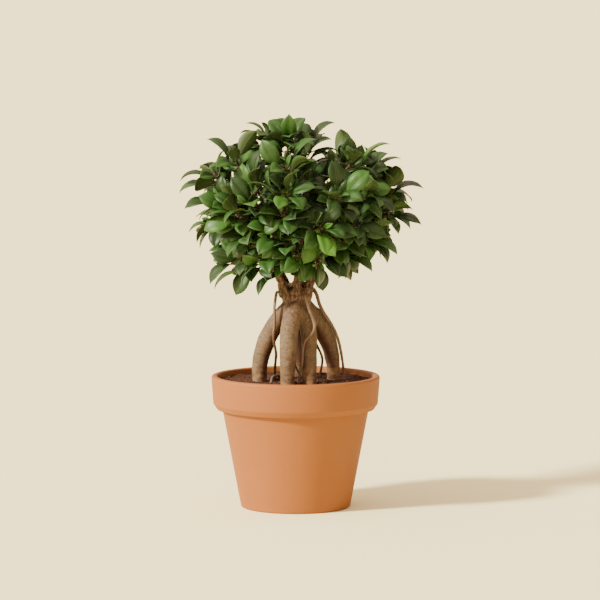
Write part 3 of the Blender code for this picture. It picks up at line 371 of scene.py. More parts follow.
def fig_bark():
    """Fig bark on swollen roots: a thin skin in fine rings, rough on the neck and the limbs."""
    # It gives a dry grey tan that is dark in its wrinkles, yellower and rusty by the soil, and a craggy
    # reddish brown higher up. Its sides that face in towards the middle of the root stock, between the
    # tubers, are darkened to a deep reddish brown as painted shade. The rings are about half a millimetre
    # apart on a real root.
    # They are drawn a little further apart than that, and stronger, so that they show.
    chosen = settings("ficus_root")
    # The third colour on the next line is the deep reddish brown of the painted shade between the tubers.
    dry_grain, ruddy_skin, painted_shade_brown = linear("#8d7a62"), linear("#643b29"), linear("#3f1f14")
    yellow_skin, crack, weathered = linear("#8f6d40"), linear("#33241a"), linear("#7c6a54")
    finish, tree, shader = start_material("fig_bark")
    place = add_node(tree, "ShaderNodeAttribute", out=1, attribute_name="bark_place")
    inward_shade = add_node(tree, "ShaderNodeAttribute", out=2, attribute_name="inward_shade")
    height = add_node(tree, "ShaderNodeSeparateXYZ", {0: add_node(tree, "ShaderNodeTexCoord", out=3)}, out=2)
    rings = speckle(tree, stretched(tree, place, (0.12, 0.12, 1.0)), 0.65 * MM, 2.0, 0.55)
    mottle = speckle(tree, stretched(tree, place, (0.7, 0.7, 1.3)), 7 * MM, 5.0, 0.6)
    grain = speckle(tree, stretched(tree, place, (0.8, 0.8, 1.3)), 0.9 * MM, 2.0, 0.6)
    ruddy = speckle(tree, stretched(tree, place, (1.0, 1.0, 0.6)), 8 * MM, 3.0, 0.6)
    flecks = speckle(tree, stretched(tree, place, (0.5, 0.5, 1.6)), 1.8 * MM, 3.0, 0.6)
    fissures = speckle(tree, stretched(tree, place, (1.5, 1.5, 0.6)), 3.2 * MM, 5.0, 0.7)
    ragged = add_node(tree, "ShaderNodeMath", {0: mottle, 1: 30 * MM, 2: height}, operation="MULTIPLY_ADD")
    on_neck = ramped(tree, ragged, 195 * MM, 236 * MM)
    near_soil = ramped(tree, height, 152 * MM, 128 * MM)
    skin = mixed(tree, ramped(tree, mottle, 0.3, 0.6, 0.55, 1.0), chosen.bark_dark, chosen.bark)
    skin = mixed(tree, ramped(tree, rings, 0.54, 0.36, 0.0, 0.5), skin, chosen.bark_dark)
    skin = mixed(tree, ramped(tree, grain, 0.56, 0.7, 0.0, 0.45), skin, dry_grain)
    skin = mixed(tree, ramped(tree, grain, 0.44, 0.3, 0.0, 0.55), skin, chosen.bark_dark)
    skin = mixed(tree, ramped(tree, ruddy, 0.48, 0.7, 0.0, 0.45), skin, ruddy_skin)
    # Painted shade: the sides that face in towards the root stock's middle turn a deep reddish brown.
    skin = mixed(tree, ramped(tree, inward_shade, 0.22, 0.72, 0.0, 0.85), skin, painted_shade_brown)
    yellow = mixed(tree, ramped(tree, mottle, 0.4, 0.6), skin, yellow_skin)
    skin = mixed(tree, ramped(tree, near_soil, 0.0, 1.0, 0.0, 0.55), skin, yellow)
    rust_share = add_node(tree, "ShaderNodeMath", {0: near_soil, 1: ramped(tree, flecks, 0.52, 0.66)},
                          operation="MULTIPLY")
    skin = mixed(tree, rust_share, skin, chosen.rust)
    rough_bark = mixed(tree, ramped(tree, fissures, 0.4, 0.62), crack, chosen.neck)
    rough_bark = mixed(tree, ramped(tree, flecks, 0.58, 0.72, 0.0, 0.6), rough_bark, weathered)
    tree.links.new(mixed(tree, on_neck, skin, rough_bark), shader.inputs["Base Color"])
    tree.links.new(ramped(tree, mottle, 0.3, 0.7, 0.62, 0.85), shader.inputs["Roughness"])
    shader.inputs["Specular IOR Level"].default_value = 0.3
    bumped(tree, shader, mixed(tree, on_neck, rings, fissures), 0.55 * MM)
    return finish


def air_root_bark():
    """Skin of thin air roots, smooth and tight."""
    # It gives a reddish brown, paler where it has dried, with faint rings that catch the light.
    chosen = settings("ficus_root")
    moist, dried = linear("#57402c"), linear("#8f7050")
    finish, tree, shader = start_material("air_root_bark")
    place = add_node(tree, "ShaderNodeTexCoord", out=3)
    patches = speckle(tree, stretched(tree, place, (1.0, 1.0, 0.35)), 5 * MM, 4.0)
    rings = speckle(tree, stretched(tree, place, (0.3, 0.3, 2.0)), 1.6 * MM, 3.0)
    colour = mixed(tree, ramped(tree, patches, 0.35, 0.65), moist, chosen.air_root)
    colour = mixed(tree, ramped(tree, rings, 0.55, 0.75, 0.0, 0.5), colour, dried)
    tree.links.new(colour, shader.inputs["Base Color"])
    shader.inputs["Roughness"].default_value = 0.62
    bumped(tree, shader, rings, 0.25 * MM)
    return finish


def away_from_midrib(tree, lay):
    """How far across a blade a place is from its midrib, from 0 to a half at its edge."""
    across = add_node(tree, "ShaderNodeSeparateXYZ", {0: lay}, out=1)
    offset = add_node(tree, "ShaderNodeMath", {0: across, 1: 0.5}, operation="SUBTRACT")
    return add_node(tree, "ShaderNodeMath", {0: offset}, operation="ABSOLUTE")


def leaf_upper():
    """Upper face of a fig leaf, a thick skin with its own wax."""
    # It gives a deep green with a soft broad gloss, a paler midrib in a groove, and side veins hardly seen.
    # The midrib is half a millimetre wide, and is drawn a millimetre wide so that it shows.
    chosen = settings("ficus_leaf")
    finish, tree, shader = start_material("fig_leaf_upper")
    place = add_node(tree, "ShaderNodeTexCoord", out=3)
    lay = add_node(tree, "ShaderNodeUVMap", uv_map="leaf_lay")
    along = add_node(tree, "ShaderNodeSeparateXYZ", {0: lay}, out=0)
    off_rib = away_from_midrib(tree, lay)
    tint = add_node(tree, "ShaderNodeAttribute", out=2, attribute_name="tint")
    patches = speckle(tree, place, 9 * MM, 3.0)
    age = add_node(tree, "ShaderNodeMath", {0: tint, 1: ramped(tree, patches, 0.3, 0.7, -0.12, 0.12)},
                   operation="ADD")
    colour = mixed(tree, ramped(tree, age, 0.05, 0.5), chosen.dark, chosen.green)
    colour = mixed(tree, ramped(tree, age, 0.5, 1.0), colour, chosen.bright)
    slant = add_node(tree, "ShaderNodeMath", {0: off_rib, 1: -0.55, 2: along}, operation="MULTIPLY_ADD")
    wave = add_node(tree, "ShaderNodeMath", {0: slant, 1: math.tau * SIDE_VEINS}, operation="MULTIPLY")
    veins = add_node(tree, "ShaderNodeMath", {0: wave}, operation="SINE")
    colour = mixed(tree, ramped(tree, veins, 0.6, 1.0, 0.0, 0.07), colour, chosen.midrib)
    colour = mixed(tree, ramped(tree, off_rib, 0.03, 0.006, 0.0, 0.2), colour, chosen.midrib)
    # The blade's rim is drawn a little brighter, in the bright leaf colour: a painted highlight along the
    # edge.
    colour = mixed(tree, ramped(tree, off_rib, 0.46, 0.5, 0.0, 0.12), colour, chosen.bright)
    tree.links.new(colour, shader.inputs["Base Color"])
    tree.links.new(ramped(tree, patches, 0.3, 0.7, 0.40, 0.54), shader.inputs["Roughness"])
    shader.inputs["Specular IOR Level"].default_value = 0.28
    groove = ramped(tree, off_rib, 0.0, 0.06)
    relief = add_node(tree, "ShaderNodeMath", {0: veins, 1: 0.12, 2: groove}, operation="MULTIPLY_ADD")
    bumped(tree, shader, relief, 0.18 * MM, 0.6)
    return finish


def leaf_under():
    """Underside of a fig leaf, without the wax."""
    # It gives a paler, matte olive green, with the midrib standing out from it.
    chosen = settings("ficus_leaf")
    finish, tree, shader = start_material("fig_leaf_under")
    place = add_node(tree, "ShaderNodeTexCoord", out=3)
    off_rib = away_from_midrib(tree, add_node(tree, "ShaderNodeUVMap", uv_map="leaf_lay"))
    patches = speckle(tree, place, 6 * MM, 3.0)
    colour = mixed(tree, ramped(tree, patches, 0.35, 0.7, 0.0, 0.6), chosen.underside, linear("#3c4f27"))
    colour = mixed(tree, ramped(tree, off_rib, 0.05, 0.015, 0.0, 0.35), colour, chosen.midrib)
    tree.links.new(colour, shader.inputs["Base Color"])
    shader.inputs["Roughness"].default_value = 0.6
    bumped(tree, shader, ramped(tree, off_rib, 0.08, 0.0), 0.3 * MM, 0.7)
    return finish


def twig_bark():
    """Bark of a young fig twig, smooth and still thin."""
    # It gives an olive brown with fine pale pores, which are drawn a millimetre apart so that they show.
    chosen = settings("ficus_leaf")
    old_bark, pore = linear("#4f4328"), linear("#6f6244")
    finish, tree, shader = start_material("fig_twig_bark")
    place = add_node(tree, "ShaderNodeTexCoord", out=3)
    patches = speckle(tree, place, 5 * MM, 4.0)
    colour = mixed(tree, ramped(tree, patches, 0.35, 0.65), chosen.twig, old_bark)
    pores = speckle(tree, place, 1.2 * MM, 2.0)
    colour = mixed(tree, ramped(tree, pores, 0.6, 0.72, 0.0, 0.5), colour, pore)
    tree.links.new(colour, shader.inputs["Base Color"])
    shader.inputs["Roughness"].default_value = 0.6
    bumped(tree, shader, pores, 0.2 * MM)
    return finish


def leaf_stalk():
    """Leaf stalk, soft and a little waxy."""
    # It gives a plain yellow green with a soft shine.
    chosen = settings("ficus_leaf")
    finish, tree, shader = start_material("fig_leaf_stalk")
    patches = speckle(tree, add_node(tree, "ShaderNodeTexCoord", out=3), 4 * MM, 3.0)
    colour = mixed(tree, ramped(tree, patches, 0.35, 0.65), linear("#4a5a25"), linear("#5a6a2e"))
    tree.links.new(colour, shader.inputs["Base Color"])
    shader.inputs["Roughness"].default_value = 0.45
    return finish


def studio_paint():
    """Matte emulsion paint, rolled on a smooth floor."""
    # It gives an even pale cream without any shine, and barely mottled.
    chosen = settings("ficus_stage")
    finish, tree, shader = start_material("emulsion_paint")
    patches = speckle(tree, add_node(tree, "ShaderNodeTexCoord", out=3), 600 * MM, 2.0)
    share = ramped(tree, patches, 0.3, 0.7, 0.0, 0.25)
    tree.links.new(mixed(tree, share, chosen.floor, linear("#f6efbc")), shader.inputs["Base Color"])
    shader.inputs["Roughness"].default_value = 0.95
    shader.inputs["Specular IOR Level"].default_value = 0.0
    return finish


def new_piece(name, shape, *finishes, smooth=True):
    """Turn a bmesh in metres into a named object with its materials."""
    mesh = bpy.data.meshes.new(name)
    shape.to_mesh(mesh)
    shape.free()
    if smooth:
        mesh.shade_smooth()
    for finish in finishes:
        mesh.materials.append(finish)
    piece = bpy.data.objects.new(name, mesh)
    bpy.context.scene.collection.objects.link(piece)
    return piece


def dress(piece, slot, *nodes):
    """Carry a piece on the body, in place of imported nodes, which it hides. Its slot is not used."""
    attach(piece, "root")
    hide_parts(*nodes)


def cad_shape(node):
    """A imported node's mesh, with its loose triangles joined up."""
    shape = bmesh.new()
    shape.from_mesh(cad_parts[node].data)
    bmesh.ops.remove_doubles(shape, verts=shape.verts, dist=0.01 * MM)
    return shape


def settled(piece):
    """The shape a piece has with its modifiers, which are then taken off."""
    bpy.context.view_layer.update()
    evaluated = piece.evaluated_get(bpy.context.evaluated_depsgraph_get())
    shape = bmesh.new()
    shape.from_mesh(evaluated.to_mesh())
    evaluated.to_mesh_clear()
    piece.modifiers.clear()
    return shape


def turned(shape, profile, steps):
    """Spin a profile of radius and height, in millimetres, round Z; its ends lie on the axis."""
    verts = [shape.verts.new((radius * MM, 0, height * MM)) for radius, height in profile]
    edges = [shape.edges.new(pair) for pair in zip(verts, verts[1:])]
    bmesh.ops.spin(shape, geom=verts + edges, cent=(0, 0, 0), axis=(0, 0, 1), angle=math.tau,
                   steps=steps, use_merge=True, use_duplicate=False)
    bmesh.ops.remove_doubles(shape, verts=shape.verts, dist=0.001 * MM)
    bmesh.ops.recalc_face_normals(shape, faces=shape.faces)


def rounded(profile):
    """A profile of radius, height and corner radius, with each corner turned into an arc."""
    points = [profile[0][:2]]
    for before, corner, after in zip(profile, profile[1:], profile[2:]):
        here = Vector(corner[:2])
        into = (Vector(before[:2]) - here).normalized()
        onward = (Vector(after[:2]) - here).normalized()
        turn = into.angle(onward)
        reach = corner[2] / math.tan(turn / 2)
        start = here + into * reach
        end = here + onward * reach
        for step in range(ARC_STEPS + 1):
            t = step / ARC_STEPS
            points.append(tuple(start * (1 - t) ** 2 + here * 2 * t * (1 - t) + end * t ** 2))
    points.append(profile[-1][:2])
    return points


def start_cords(name):
    """An empty curve whose splines become round cords."""
    curve = bpy.data.curves.new(name, "CURVE")
    curve.dimensions = "3D"
    curve.bevel_depth = 1 * MM
    curve.bevel_resolution = 1
    curve.use_fill_caps = True
    return curve


def add_cord(curve, points, radii, finish=0):
    """One round cord through the points."""
    spline = curve.splines.new("POLY")
    spline.points.add(len(points) - 1)
    spline.material_index = finish
    for knot, point, radius in zip(spline.points, points, radii):
        knot.co = (*point, 1.0)
        knot.radius = radius / curve.bevel_depth


def cords_piece(name, curve, *finishes):
    """Turn the cords of a curve into a mesh piece."""
    for finish in finishes:
        curve.materials.append(finish)
    cords = bpy.data.objects.new(name + "_cords", curve)
    bpy.context.scene.collection.objects.link(cords)
    shape = settled(cords)
    bpy.data.objects.remove(cords, do_unlink=True)
    bmesh.ops.remove_doubles(shape, verts=shape.verts, dist=0.0001 * MM)
    bmesh.ops.recalc_face_normals(shape, faces=shape.faces)
    return new_piece(name, shape, *finishes)


class FICUS_OT_pot(bpy.types.Operator):
    """Turn the clay pot with its rim band and drain holes."""
    bl_idname = "ficus.pot"
    bl_label = "Pot"

    def execute(self, context):
        # Each corner is its radius, its height and how much it is rounded.
        profile = ((0, 0, 0), (BASE_RADIUS, 0, 2.5), (*BODY_TOP, 0.5), (*BAND_STEP, 0.8), (*BAND_FOOT, 1.8),
                   (RIM_RADIUS, POT_HEIGHT, 2.6), (RIM_RADIUS - WALL, POT_HEIGHT, 2.4),
                   (RIM_RADIUS - WALL - 2, BAND_FOOT[1] + 2, 3), (*INNER_BODY_TOP, 3),
                   (INNER_BASE_RADIUS, FLOOR, 3), (0, FLOOR, 0))
        shape = bmesh.new()
        turned(shape, rounded(profile), POT_STEPS)
        pot = new_piece("clay_pot", shape, terracotta())
        drills = bmesh.new()
        for index in range(DRAINS):
            angle = math.tau * (index + 0.25) / DRAINS
            middle = Vector((DRAIN_CIRCLE * math.cos(angle), DRAIN_CIRCLE * math.sin(angle), FLOOR / 2))
            bmesh.ops.create_cone(drills, cap_ends=True, segments=32, radius1=DRAIN_RADIUS * MM,
                                  radius2=DRAIN_RADIUS * MM, depth=(FLOOR + 2) * MM,
                                  matrix=Matrix.Translation(middle * MM))
        drill = new_piece("drill", drills)
        cut = pot.modifiers.new("drain_holes", "BOOLEAN")
        cut.operation = "DIFFERENCE"
        cut.solver = "EXACT"
        cut.object = drill
        shape = settled(pot)
        if not shape.faces:
            raise RuntimeError("the drain holes took the whole pot away")
        shape.to_mesh(pot.data)
        shape.free()
        bpy.data.objects.remove(drill, do_unlink=True)
        pot.data.shade_smooth()
        pot.data.set_sharp_from_angle(angle=SHARP_EDGE)
        dress(pot, "clay", "pot")
        return {"FINISHED"}


def soil_lump(x, y):
    """Height of the soil at a place, in millimetres, with its lumps, clods and grains."""
    lump_height, lump_span = LUMP
    clod_height, clod_span = CLOD
    grain_height, grain_span = GRAIN
    lumps = noise.noise(Vector((x / lump_span, y / lump_span, 3.0)))
    clods = noise.voronoi(Vector((x / clod_span, y / clod_span, 0.0)))[0][0]
    grains = noise.voronoi(Vector((x / grain_span, y / grain_span, 7.0)))[0][0]
    return SOIL_Z + lump_height * lumps + clod_height * (0.55 - clods) + grain_height * (0.5 - grains)


class FICUS_OT_soil(bpy.types.Operator):
    """Fill the pot with crumbly soil."""
    bl_idname = "ficus.soil"
    bl_label = "Soil"

    def execute(self, context):
        chosen = settings("ficus_soil")
        rng = random.Random(SOIL_SEED)
        # Vector noise takes its offsets from the clock unless it gets a seed.
        noise.seed_set(SOIL_SEED)
        profile = [(SOIL_RADIUS * ring / SOIL_RINGS, SOIL_Z) for ring in range(SOIL_RINGS + 1)]
        profile += [(INNER_BODY_TOP[0] - SOIL_GAP, INNER_BODY_TOP[1]),
                    (INNER_BASE_RADIUS - SOIL_GAP, FLOOR + SOIL_GAP), (0, FLOOR + SOIL_GAP)]
        shape = bmesh.new()
        turned(shape, profile, SOIL_STEPS)
        for vert in shape.verts:
            if vert.co.z > (SOIL_Z - 1) * MM:
                vert.co.z = soil_lump(vert.co.x / MM, vert.co.y / MM) * MM
        tint = shape.verts.layers.float.new("tint")
        made = 0
        while made < chosen.crumbs:
            turn = rng.uniform(0, math.tau)
            reach = CRUMB_REACH * math.sqrt(rng.random())
            x, y = reach * math.cos(turn), reach * math.sin(turn)
            size = rng.uniform(*(FINE_CRUMB if rng.random() < FINE_SHARE else COARSE_CRUMB))
            if any(math.hypot(x - rx, y - ry) < radius + size * 0.6 for rx, ry, radius in ROOT_SPOTS):
                continue
            made += 1
            place = Matrix.Translation(Vector((x, y, soil_lump(x, y) + size * 0.1)) * MM)
            axis = Vector((rng.random(), rng.random(), rng.random() + 0.1))
            spin = Matrix.Rotation(rng.uniform(0, math.tau), 4, axis)
            stretch = [rng.uniform(*span) for span in (CRUMB_LONG, CRUMB_ACROSS, CRUMB_ACROSS)]
            squeeze = Matrix.Diagonal((*stretch, 1.0))
            lump = bmesh.ops.create_icosphere(shape, subdivisions=1, radius=size * MM,
                                              matrix=place @ spin @ squeeze)
            shade = rng.choice(CRUMB_SHADES)
            for vert in lump["verts"]:
                vert.co += noise.noise_vector(vert.co / (1.7 * MM)) * size * 0.22 * MM
                vert[tint] = shade
        dress(new_piece("potting_soil", shape, potting_soil()), "soil", "soil")
        return {"FINISHED"}


def bark_way(point):
    """How far along its tuber a point lies, in millimetres, first straight up and then round the arch."""
    x, y, z = point / MM
    if z < ARCH_Z or z > NECK_Z:
        return z
    return ARCH_Z + ARCH_REACH * math.atan2(z - ARCH_Z, max(math.hypot(x, y) - ARCH_RADIUS, 0.5))


def bark_lift(x, y, z, way, wrinkle):
    """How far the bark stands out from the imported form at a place, in millimetres."""
    swelling, swelling_span = SWELLING
    knot_height, knot_span = BARK_KNOT
    ring = noise.noise(Vector((x / WRINKLE_RUN, y / WRINKLE_RUN, way / WRINKLE_STEP)))
    slow = noise.noise(Vector((x / SLOW_WRINKLE_RUN, y / SLOW_WRINKLE_RUN, way / SLOW_WRINKLE_STEP + 40)))
    lump = noise.noise(Vector((x, y, z)) / swelling_span)
    knots = noise.fractal(Vector((x, y, z * 0.55)) / knot_span, 0.8, 2.0, 3)
    rough = min(max((z - ROUGH_FOOT_Z) / (ROUGH_FULL_Z - ROUGH_FOOT_Z), 0.0), 1.0)
    rough *= min(max((ROUGH_TOP_Z - z) / ROUGH_FADE, 0.25), 1.0)
    smooth_lift = (ring + 0.3 * slow) * wrinkle + swelling * lump
    return smooth_lift * (1 - 0.6 * rough) + knot_height * knots * rough


def refined(node, levels, voxel=0.0, rounds=0):
    """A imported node's form, subdivided until smooth and, where asked, remeshed evenly."""
    shape = cad_shape(node)
    piece = new_piece(node + "_form", shape)
    finer = piece.modifiers.new("finer", "SUBSURF")
    finer.levels = levels
    finer.render_levels = levels
    if voxel:
        skin = piece.modifiers.new("skin", "REMESH")
        skin.mode = "VOXEL"
        skin.voxel_size = voxel * MM
        even = piece.modifiers.new("even", "SMOOTH")
        even.factor = 0.5
        even.iterations = rounds
    shape = settled(piece)
    bpy.data.objects.remove(piece, do_unlink=True)
    shape.normal_update()
    return shape


class FICUS_OT_root_stock(bpy.types.Operator):
    """Wrinkle the skin of the root stock and its limbs."""
    bl_idname = "ficus.root_stock"
    bl_label = "Root stock"

    def execute(self, context):
        chosen = settings("ficus_root")
        shape = refined("trunk", ROOT_LEVELS, SKIN_VOXEL, SKIN_ROUNDS)
        lay = shape.verts.layers.float_vector.new("bark_place")
        # How much a place faces in towards the root stock's axis; the bark is painted darker there as painted
        # shade.
        inward_shade = shape.verts.layers.float.new("inward_shade")
        moved = []
        for vert in shape.verts:
            x, y, z = vert.co / MM
            way = bark_way(vert.co)
            vert[lay] = Vector((x, y, way)) * MM
            vert[inward_shade] = 0.5 - 0.5 * vert.normal.dot(Vector((x, y, 0)).normalized())
            moved.append(vert.co + vert.normal * bark_lift(x, y, z, way, chosen.wrinkle / MM) * MM)
        for vert, place in zip(shape.verts, moved):
            vert.co = place
        dress(new_piece("root_stock", shape, fig_bark()), "bark", "trunk")
        return {"FINISHED"}


class FICUS_OT_air_roots(bpy.types.Operator):
    """Round off the thin air roots and make them a little knotty."""
    bl_idname = "ficus.air_roots"
    bl_label = "Air roots"

    def execute(self, context):
        finish = air_root_bark()
        knot_height, knot_span = AIR_ROOT_KNOT
        nodes = sorted(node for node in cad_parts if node.startswith(("aerial_root", "surface_root")))
        if not nodes:
            raise RuntimeError("the packed model has no air roots")
        for node in nodes:
            shape = refined(node, ROOT_LEVELS)
            moved = []
            for vert in shape.verts:
                knot = noise.noise(vert.co / (knot_span * MM))
                knot += 0.5 * noise.noise(vert.co / (AIR_ROOT_FINE_KNOT * MM))
                moved.append(vert.co + vert.normal * (AIR_ROOT_SWELL + knot_height * knot) * MM)
            for vert, place in zip(shape.verts, moved):
                vert.co = place
            dress(new_piece(node + "_skin", shape, finish), "thin_root", node)
        return {"FINISHED"}


class Blade:
    """One leaf, as its root on the twig, four places on its midrib, its side way, width, fold and tint."""

    def __init__(self, root, places, side, half_width, fold, tint):
        self.root = root
        self.places = places
        self.side = side
        self.half_width = half_width
        self.fold = fold
        self.tint = tint

    def midrib(self, t):
        """The midrib's point and way on at a share of its length, on a cubic through its four places."""
        point, way = Vector(), Vector()
        for place, own in zip(self.places, BLADE_STATIONS):
            rest = [other for other in BLADE_STATIONS if other != own]
            scale = math.prod(own - other for other in rest)
            first, second, third = (t - other for other in rest)
            point += place * (first * second * third / scale)
            way += place * ((first * second + second * third + first * third) / scale)
        return point, way.normalized()


def other_ends(vert, known=()):
    """The corners that edges join to a corner, apart from the known ones."""
    return [edge.other_vert(vert) for edge in vert.link_edges if edge.other_vert(vert) not in known]


def ring_below(ring, beyond):
    """The next ring of a leaf towards its root, from a ring and what lies beyond it."""
    right, top, left, bottom = ring
    known = {*ring, *beyond}
    right_on, = other_ends(right, known)
    left_on, = other_ends(left, known)
    known |= {right_on, left_on}
    top_on, = other_ends(top, known)
    bottom_on, = other_ends(bottom, known)
    return [right_on, top_on, left_on, bottom_on]


def middle_of(verts):
    """The middle of some corners."""
    return sum((vert.co for vert in verts), Vector()) / len(verts)


def read_leaf(tip):
    """A packed leaf's rings from its tip down to its foot, or None where the corner is no leaf tip."""
    around = other_ends(tip)
    edges = [vert for vert in around if len(vert.link_edges) == 4]
    faces = [vert for vert in around if len(vert.link_edges) != 4]
    if len(edges) != 2 or len(faces) != 2:
        return None
    wide = (edges[0].co - edges[1].co).length > NARROWEST_BLADE * MM
    thin = (faces[0].co - faces[1].co).length < THICKEST_BLADE * MM
    if not (wide and thin):
        return None
    lifted = middle_of(edges) - middle_of(faces)
    top, bottom = faces if (faces[0].co - faces[1].co).dot(lifted) > 0 else faces[::-1]
    onward = tip.co - middle_of(faces)
    side = (top.co - bottom.co).cross(onward)
    right, left = edges if (edges[0].co - edges[1].co).dot(side) > 0 else edges[::-1]
    rings = [[right, top, left, bottom]]
    beyond = [tip]
    while len(rings) < 4:
        rings.append(ring_below(rings[-1], beyond))
        beyond = rings[-2]
    return rings


def leaf_tint(tip, rng):
    """How young and bright a leaf is, from 0 to 1. Most are grown, and a few are young."""
    # A listed leaf takes its given tint; for the one at the left edge that faces the light, that tint is
    # painted light.
    for x, z, young in BRIGHT_LEAF_TIPS:
        if tip.y < 0 and math.hypot(tip.x / MM - x, tip.z / MM - z) < BRIGHT_LEAF_REACH:
            return young
    return rng.uniform(*(GROWN_TINT if rng.random() < GROWN_SHARE else YOUNG_TINT))


def read_shoot(node, rng):
    """A packed shoot's leaves, and its twig as points and radii from the limb to the bud."""
    shape = cad_shape(node)
    blades = []
    leafy = set()
    for tip in shape.verts:
        rings = read_leaf(tip) if len(tip.link_edges) == 4 else None
        if rings is None:
            continue
        high, low, stalk, base = rings
        leafy.update((tip, *high, *low, *stalk))
        side = (low[0].co - low[2].co).normalized()
        half_width = (low[0].co - low[2].co).length / 2 / WIDE_SHARE * SLIMMING
        lift = (middle_of((low[0], low[2])) - middle_of((low[1], low[3]))).length
        places = (middle_of(stalk), middle_of((low[1], low[3])), middle_of((high[1], high[3])), tip.co.copy())
        blades.append(Blade(middle_of(base), places, side, half_width, lift / half_width,
                            leaf_tint(tip.co, rng)))
    bud = None
    for vert in shape.verts:
        around = other_ends(vert)
        if vert in leafy or len(around) != 4:
            continue
        if max((one.co - two.co).length for one in around for two in around) < BUD_SPREAD * MM:
            bud = vert
    if bud is None or not blades:
        raise RuntimeError(f"no bud or no leaf was found on {node}")
    points, radii = [bud.co.copy()], [0.5 * MM]
    seen = {bud, *leafy}
    ring = other_ends(bud, seen)
    while ring:
        centre = middle_of(ring)
        points.append(centre)
        radii.append((ring[0].co - centre).length * TWIG_SLIMMING)
        seen.update(ring)
        # A dict keeps their order, where a set would shuffle them from run to run.
        ring = list(dict.fromkeys(vert for one in ring for vert in other_ends(one, seen)))
    tree = BVHTree.FromBMesh(shape)
    shape.free()
    return blades, points[::-1], radii[::-1], tree


def arched_blade(root, stalk_end, chord, normal, length, arch, fold, tint):
    """A leaf whose midrib is an arc over its chord."""
    chord = chord.normalized()
    normal = (normal - chord * normal.dot(chord)).normalized()
    places = []
    for t in BLADE_STATIONS:
        turn = arch * (0.5 - t)
        along = length / arch * (math.sin(arch / 2) - math.sin(turn))
        above = length / arch * (math.cos(turn) - math.cos(arch / 2))
        places.append(stalk_end + chord * along + normal * above)
    return Blade(root, tuple(places), normal.cross(chord), INNER_HALF_WIDTH * length, fold, tint)


def blade_card(blade):
    """A leaf as a few triangles, to try it against the others."""
    stalk, low, high, tip = blade.places
    wide = blade.side * blade.half_width
    points = [stalk, low - wide, low + wide, high - wide * 0.85, high + wide * 0.85, tip]
    return BVHTree.FromPolygons(points, [(0, 1, 2), (1, 3, 4), (1, 4, 2), (3, 5, 4)])


def finds_room(card, low, high, standing):
    """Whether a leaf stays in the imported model's box and cuts through nothing that already stands."""
    if not all(CAD_LOW[axis] < low[axis] and high[axis] < CAD_HIGH[axis] for axis in range(3)):
        return False
    for tree, other_low, other_high in standing:
        near = all(low[axis] < other_high[axis] and high[axis] > other_low[axis] for axis in range(3))
        if near and card.overlap(tree):
            return False
    return True


def box_of(points):
    """The low and the high corner of the box round some points."""
    return ([min(point[axis] for point in points) for axis in range(3)],
            [max(point[axis] for point in points) for axis in range(3)])


def stand(blade, blades, standing):
    """Add a leaf where it finds room, and tell whether it did."""
    card = blade_card(blade)
    low, high = box_of(blade.places)
    found = finds_room(card, low, high, standing)
    if found:
        blades.append(blade)
        standing.append((card, low, high))
    return found


def deep_inside(blade):
    """Whether a leaf keeps to the inside of the crown."""
    tip = blade.places[-1] / MM
    depth = Vector([(tip[axis] - CROWN_CENTRE[axis]) / CROWN_REACH[axis] for axis in range(3)]).length
    return depth < INNER_DEPTH and min(place.z for place in blade.places) > CROWN_FLOOR_Z * MM


def inner_leaf(spot, way, turn, shorter, rng):
    """A leaf on the old wood, turned round it from its first side."""
    around = Matrix.Rotation(turn, 3, way) @ way.orthogonal().normalized()
    outward = (spot - CROWN_CENTRE * MM).normalized()
    chord = (way * rng.uniform(0.2, 0.9) + around + outward * 0.3 + Vector((0, 0, -0.4))).normalized()
    normal = Vector((0, 0, 0.8)) + outward * 0.6 + Vector([rng.uniform(-0.5, 0.5) for axis in range(3)])
    length = rng.uniform(*INNER_LENGTH) * shorter * MM
    stalk_end = spot + (chord + around * 0.5).normalized() * rng.uniform(*INNER_STALK) * MM
    return arched_blade(spot, stalk_end, chord, normal, length, rng.uniform(*INNER_ARCH),
                        rng.uniform(*INNER_FOLD), rng.uniform(*INNER_TINT))


def inner_leaves(points, blades, number, rng, standing):
    """Leaves on the older wood of a shoot, in turn at the golden angle, where they find room."""
    travelled = [0.0]
    for before, after in zip(points, points[1:]):
        travelled.append(travelled[-1] + (after - before).length)
    station = INNER_START * MM
    rank = 0
    while station < travelled[-1] - INNER_END * MM:
        index = max(place for place in range(len(points) - 1) if travelled[place] <= station)
        share = (station - travelled[index]) / (travelled[index + 1] - travelled[index])
        spot = points[index].lerp(points[index + 1], share)
        way = (points[index + 1] - points[index]).normalized()
        for attempt in range(INNER_TRIES):
            turn = rank * GOLDEN_ANGLE + number + rng.uniform(-0.6, 0.6) * attempt
            blade = inner_leaf(spot, way, turn, 1 - 0.04 * attempt, rng)
            if deep_inside(blade) and stand(blade, blades, standing):
                break
        rank += 1
        station += rng.uniform(*INNER_STEP) * MM


def tip_leaves(points, blades, rng, standing):
    """One or two small young leaves at the end of a shoot, where they find room."""
    way = (points[-1] - points[-2]).normalized()
    across = Matrix.Rotation(rng.uniform(0, math.tau), 3, way) @ way.orthogonal().normalized()
    for around in (across, -across):
        root = points[-1] - way * 2 * MM
        stalk_end = root + (way + around).normalized() * 3 * MM
        chord = way + around * rng.uniform(0.4, 0.8)
        blade = arched_blade(root, stalk_end, chord, -around, rng.uniform(*TIP_LENGTH) * MM,
                             rng.uniform(*TIP_ARCH), rng.uniform(*TIP_FOLD), rng.uniform(*TIP_TINT))
        blade.half_width *= TIP_SLIMMING
        stand(blade, blades, standing)


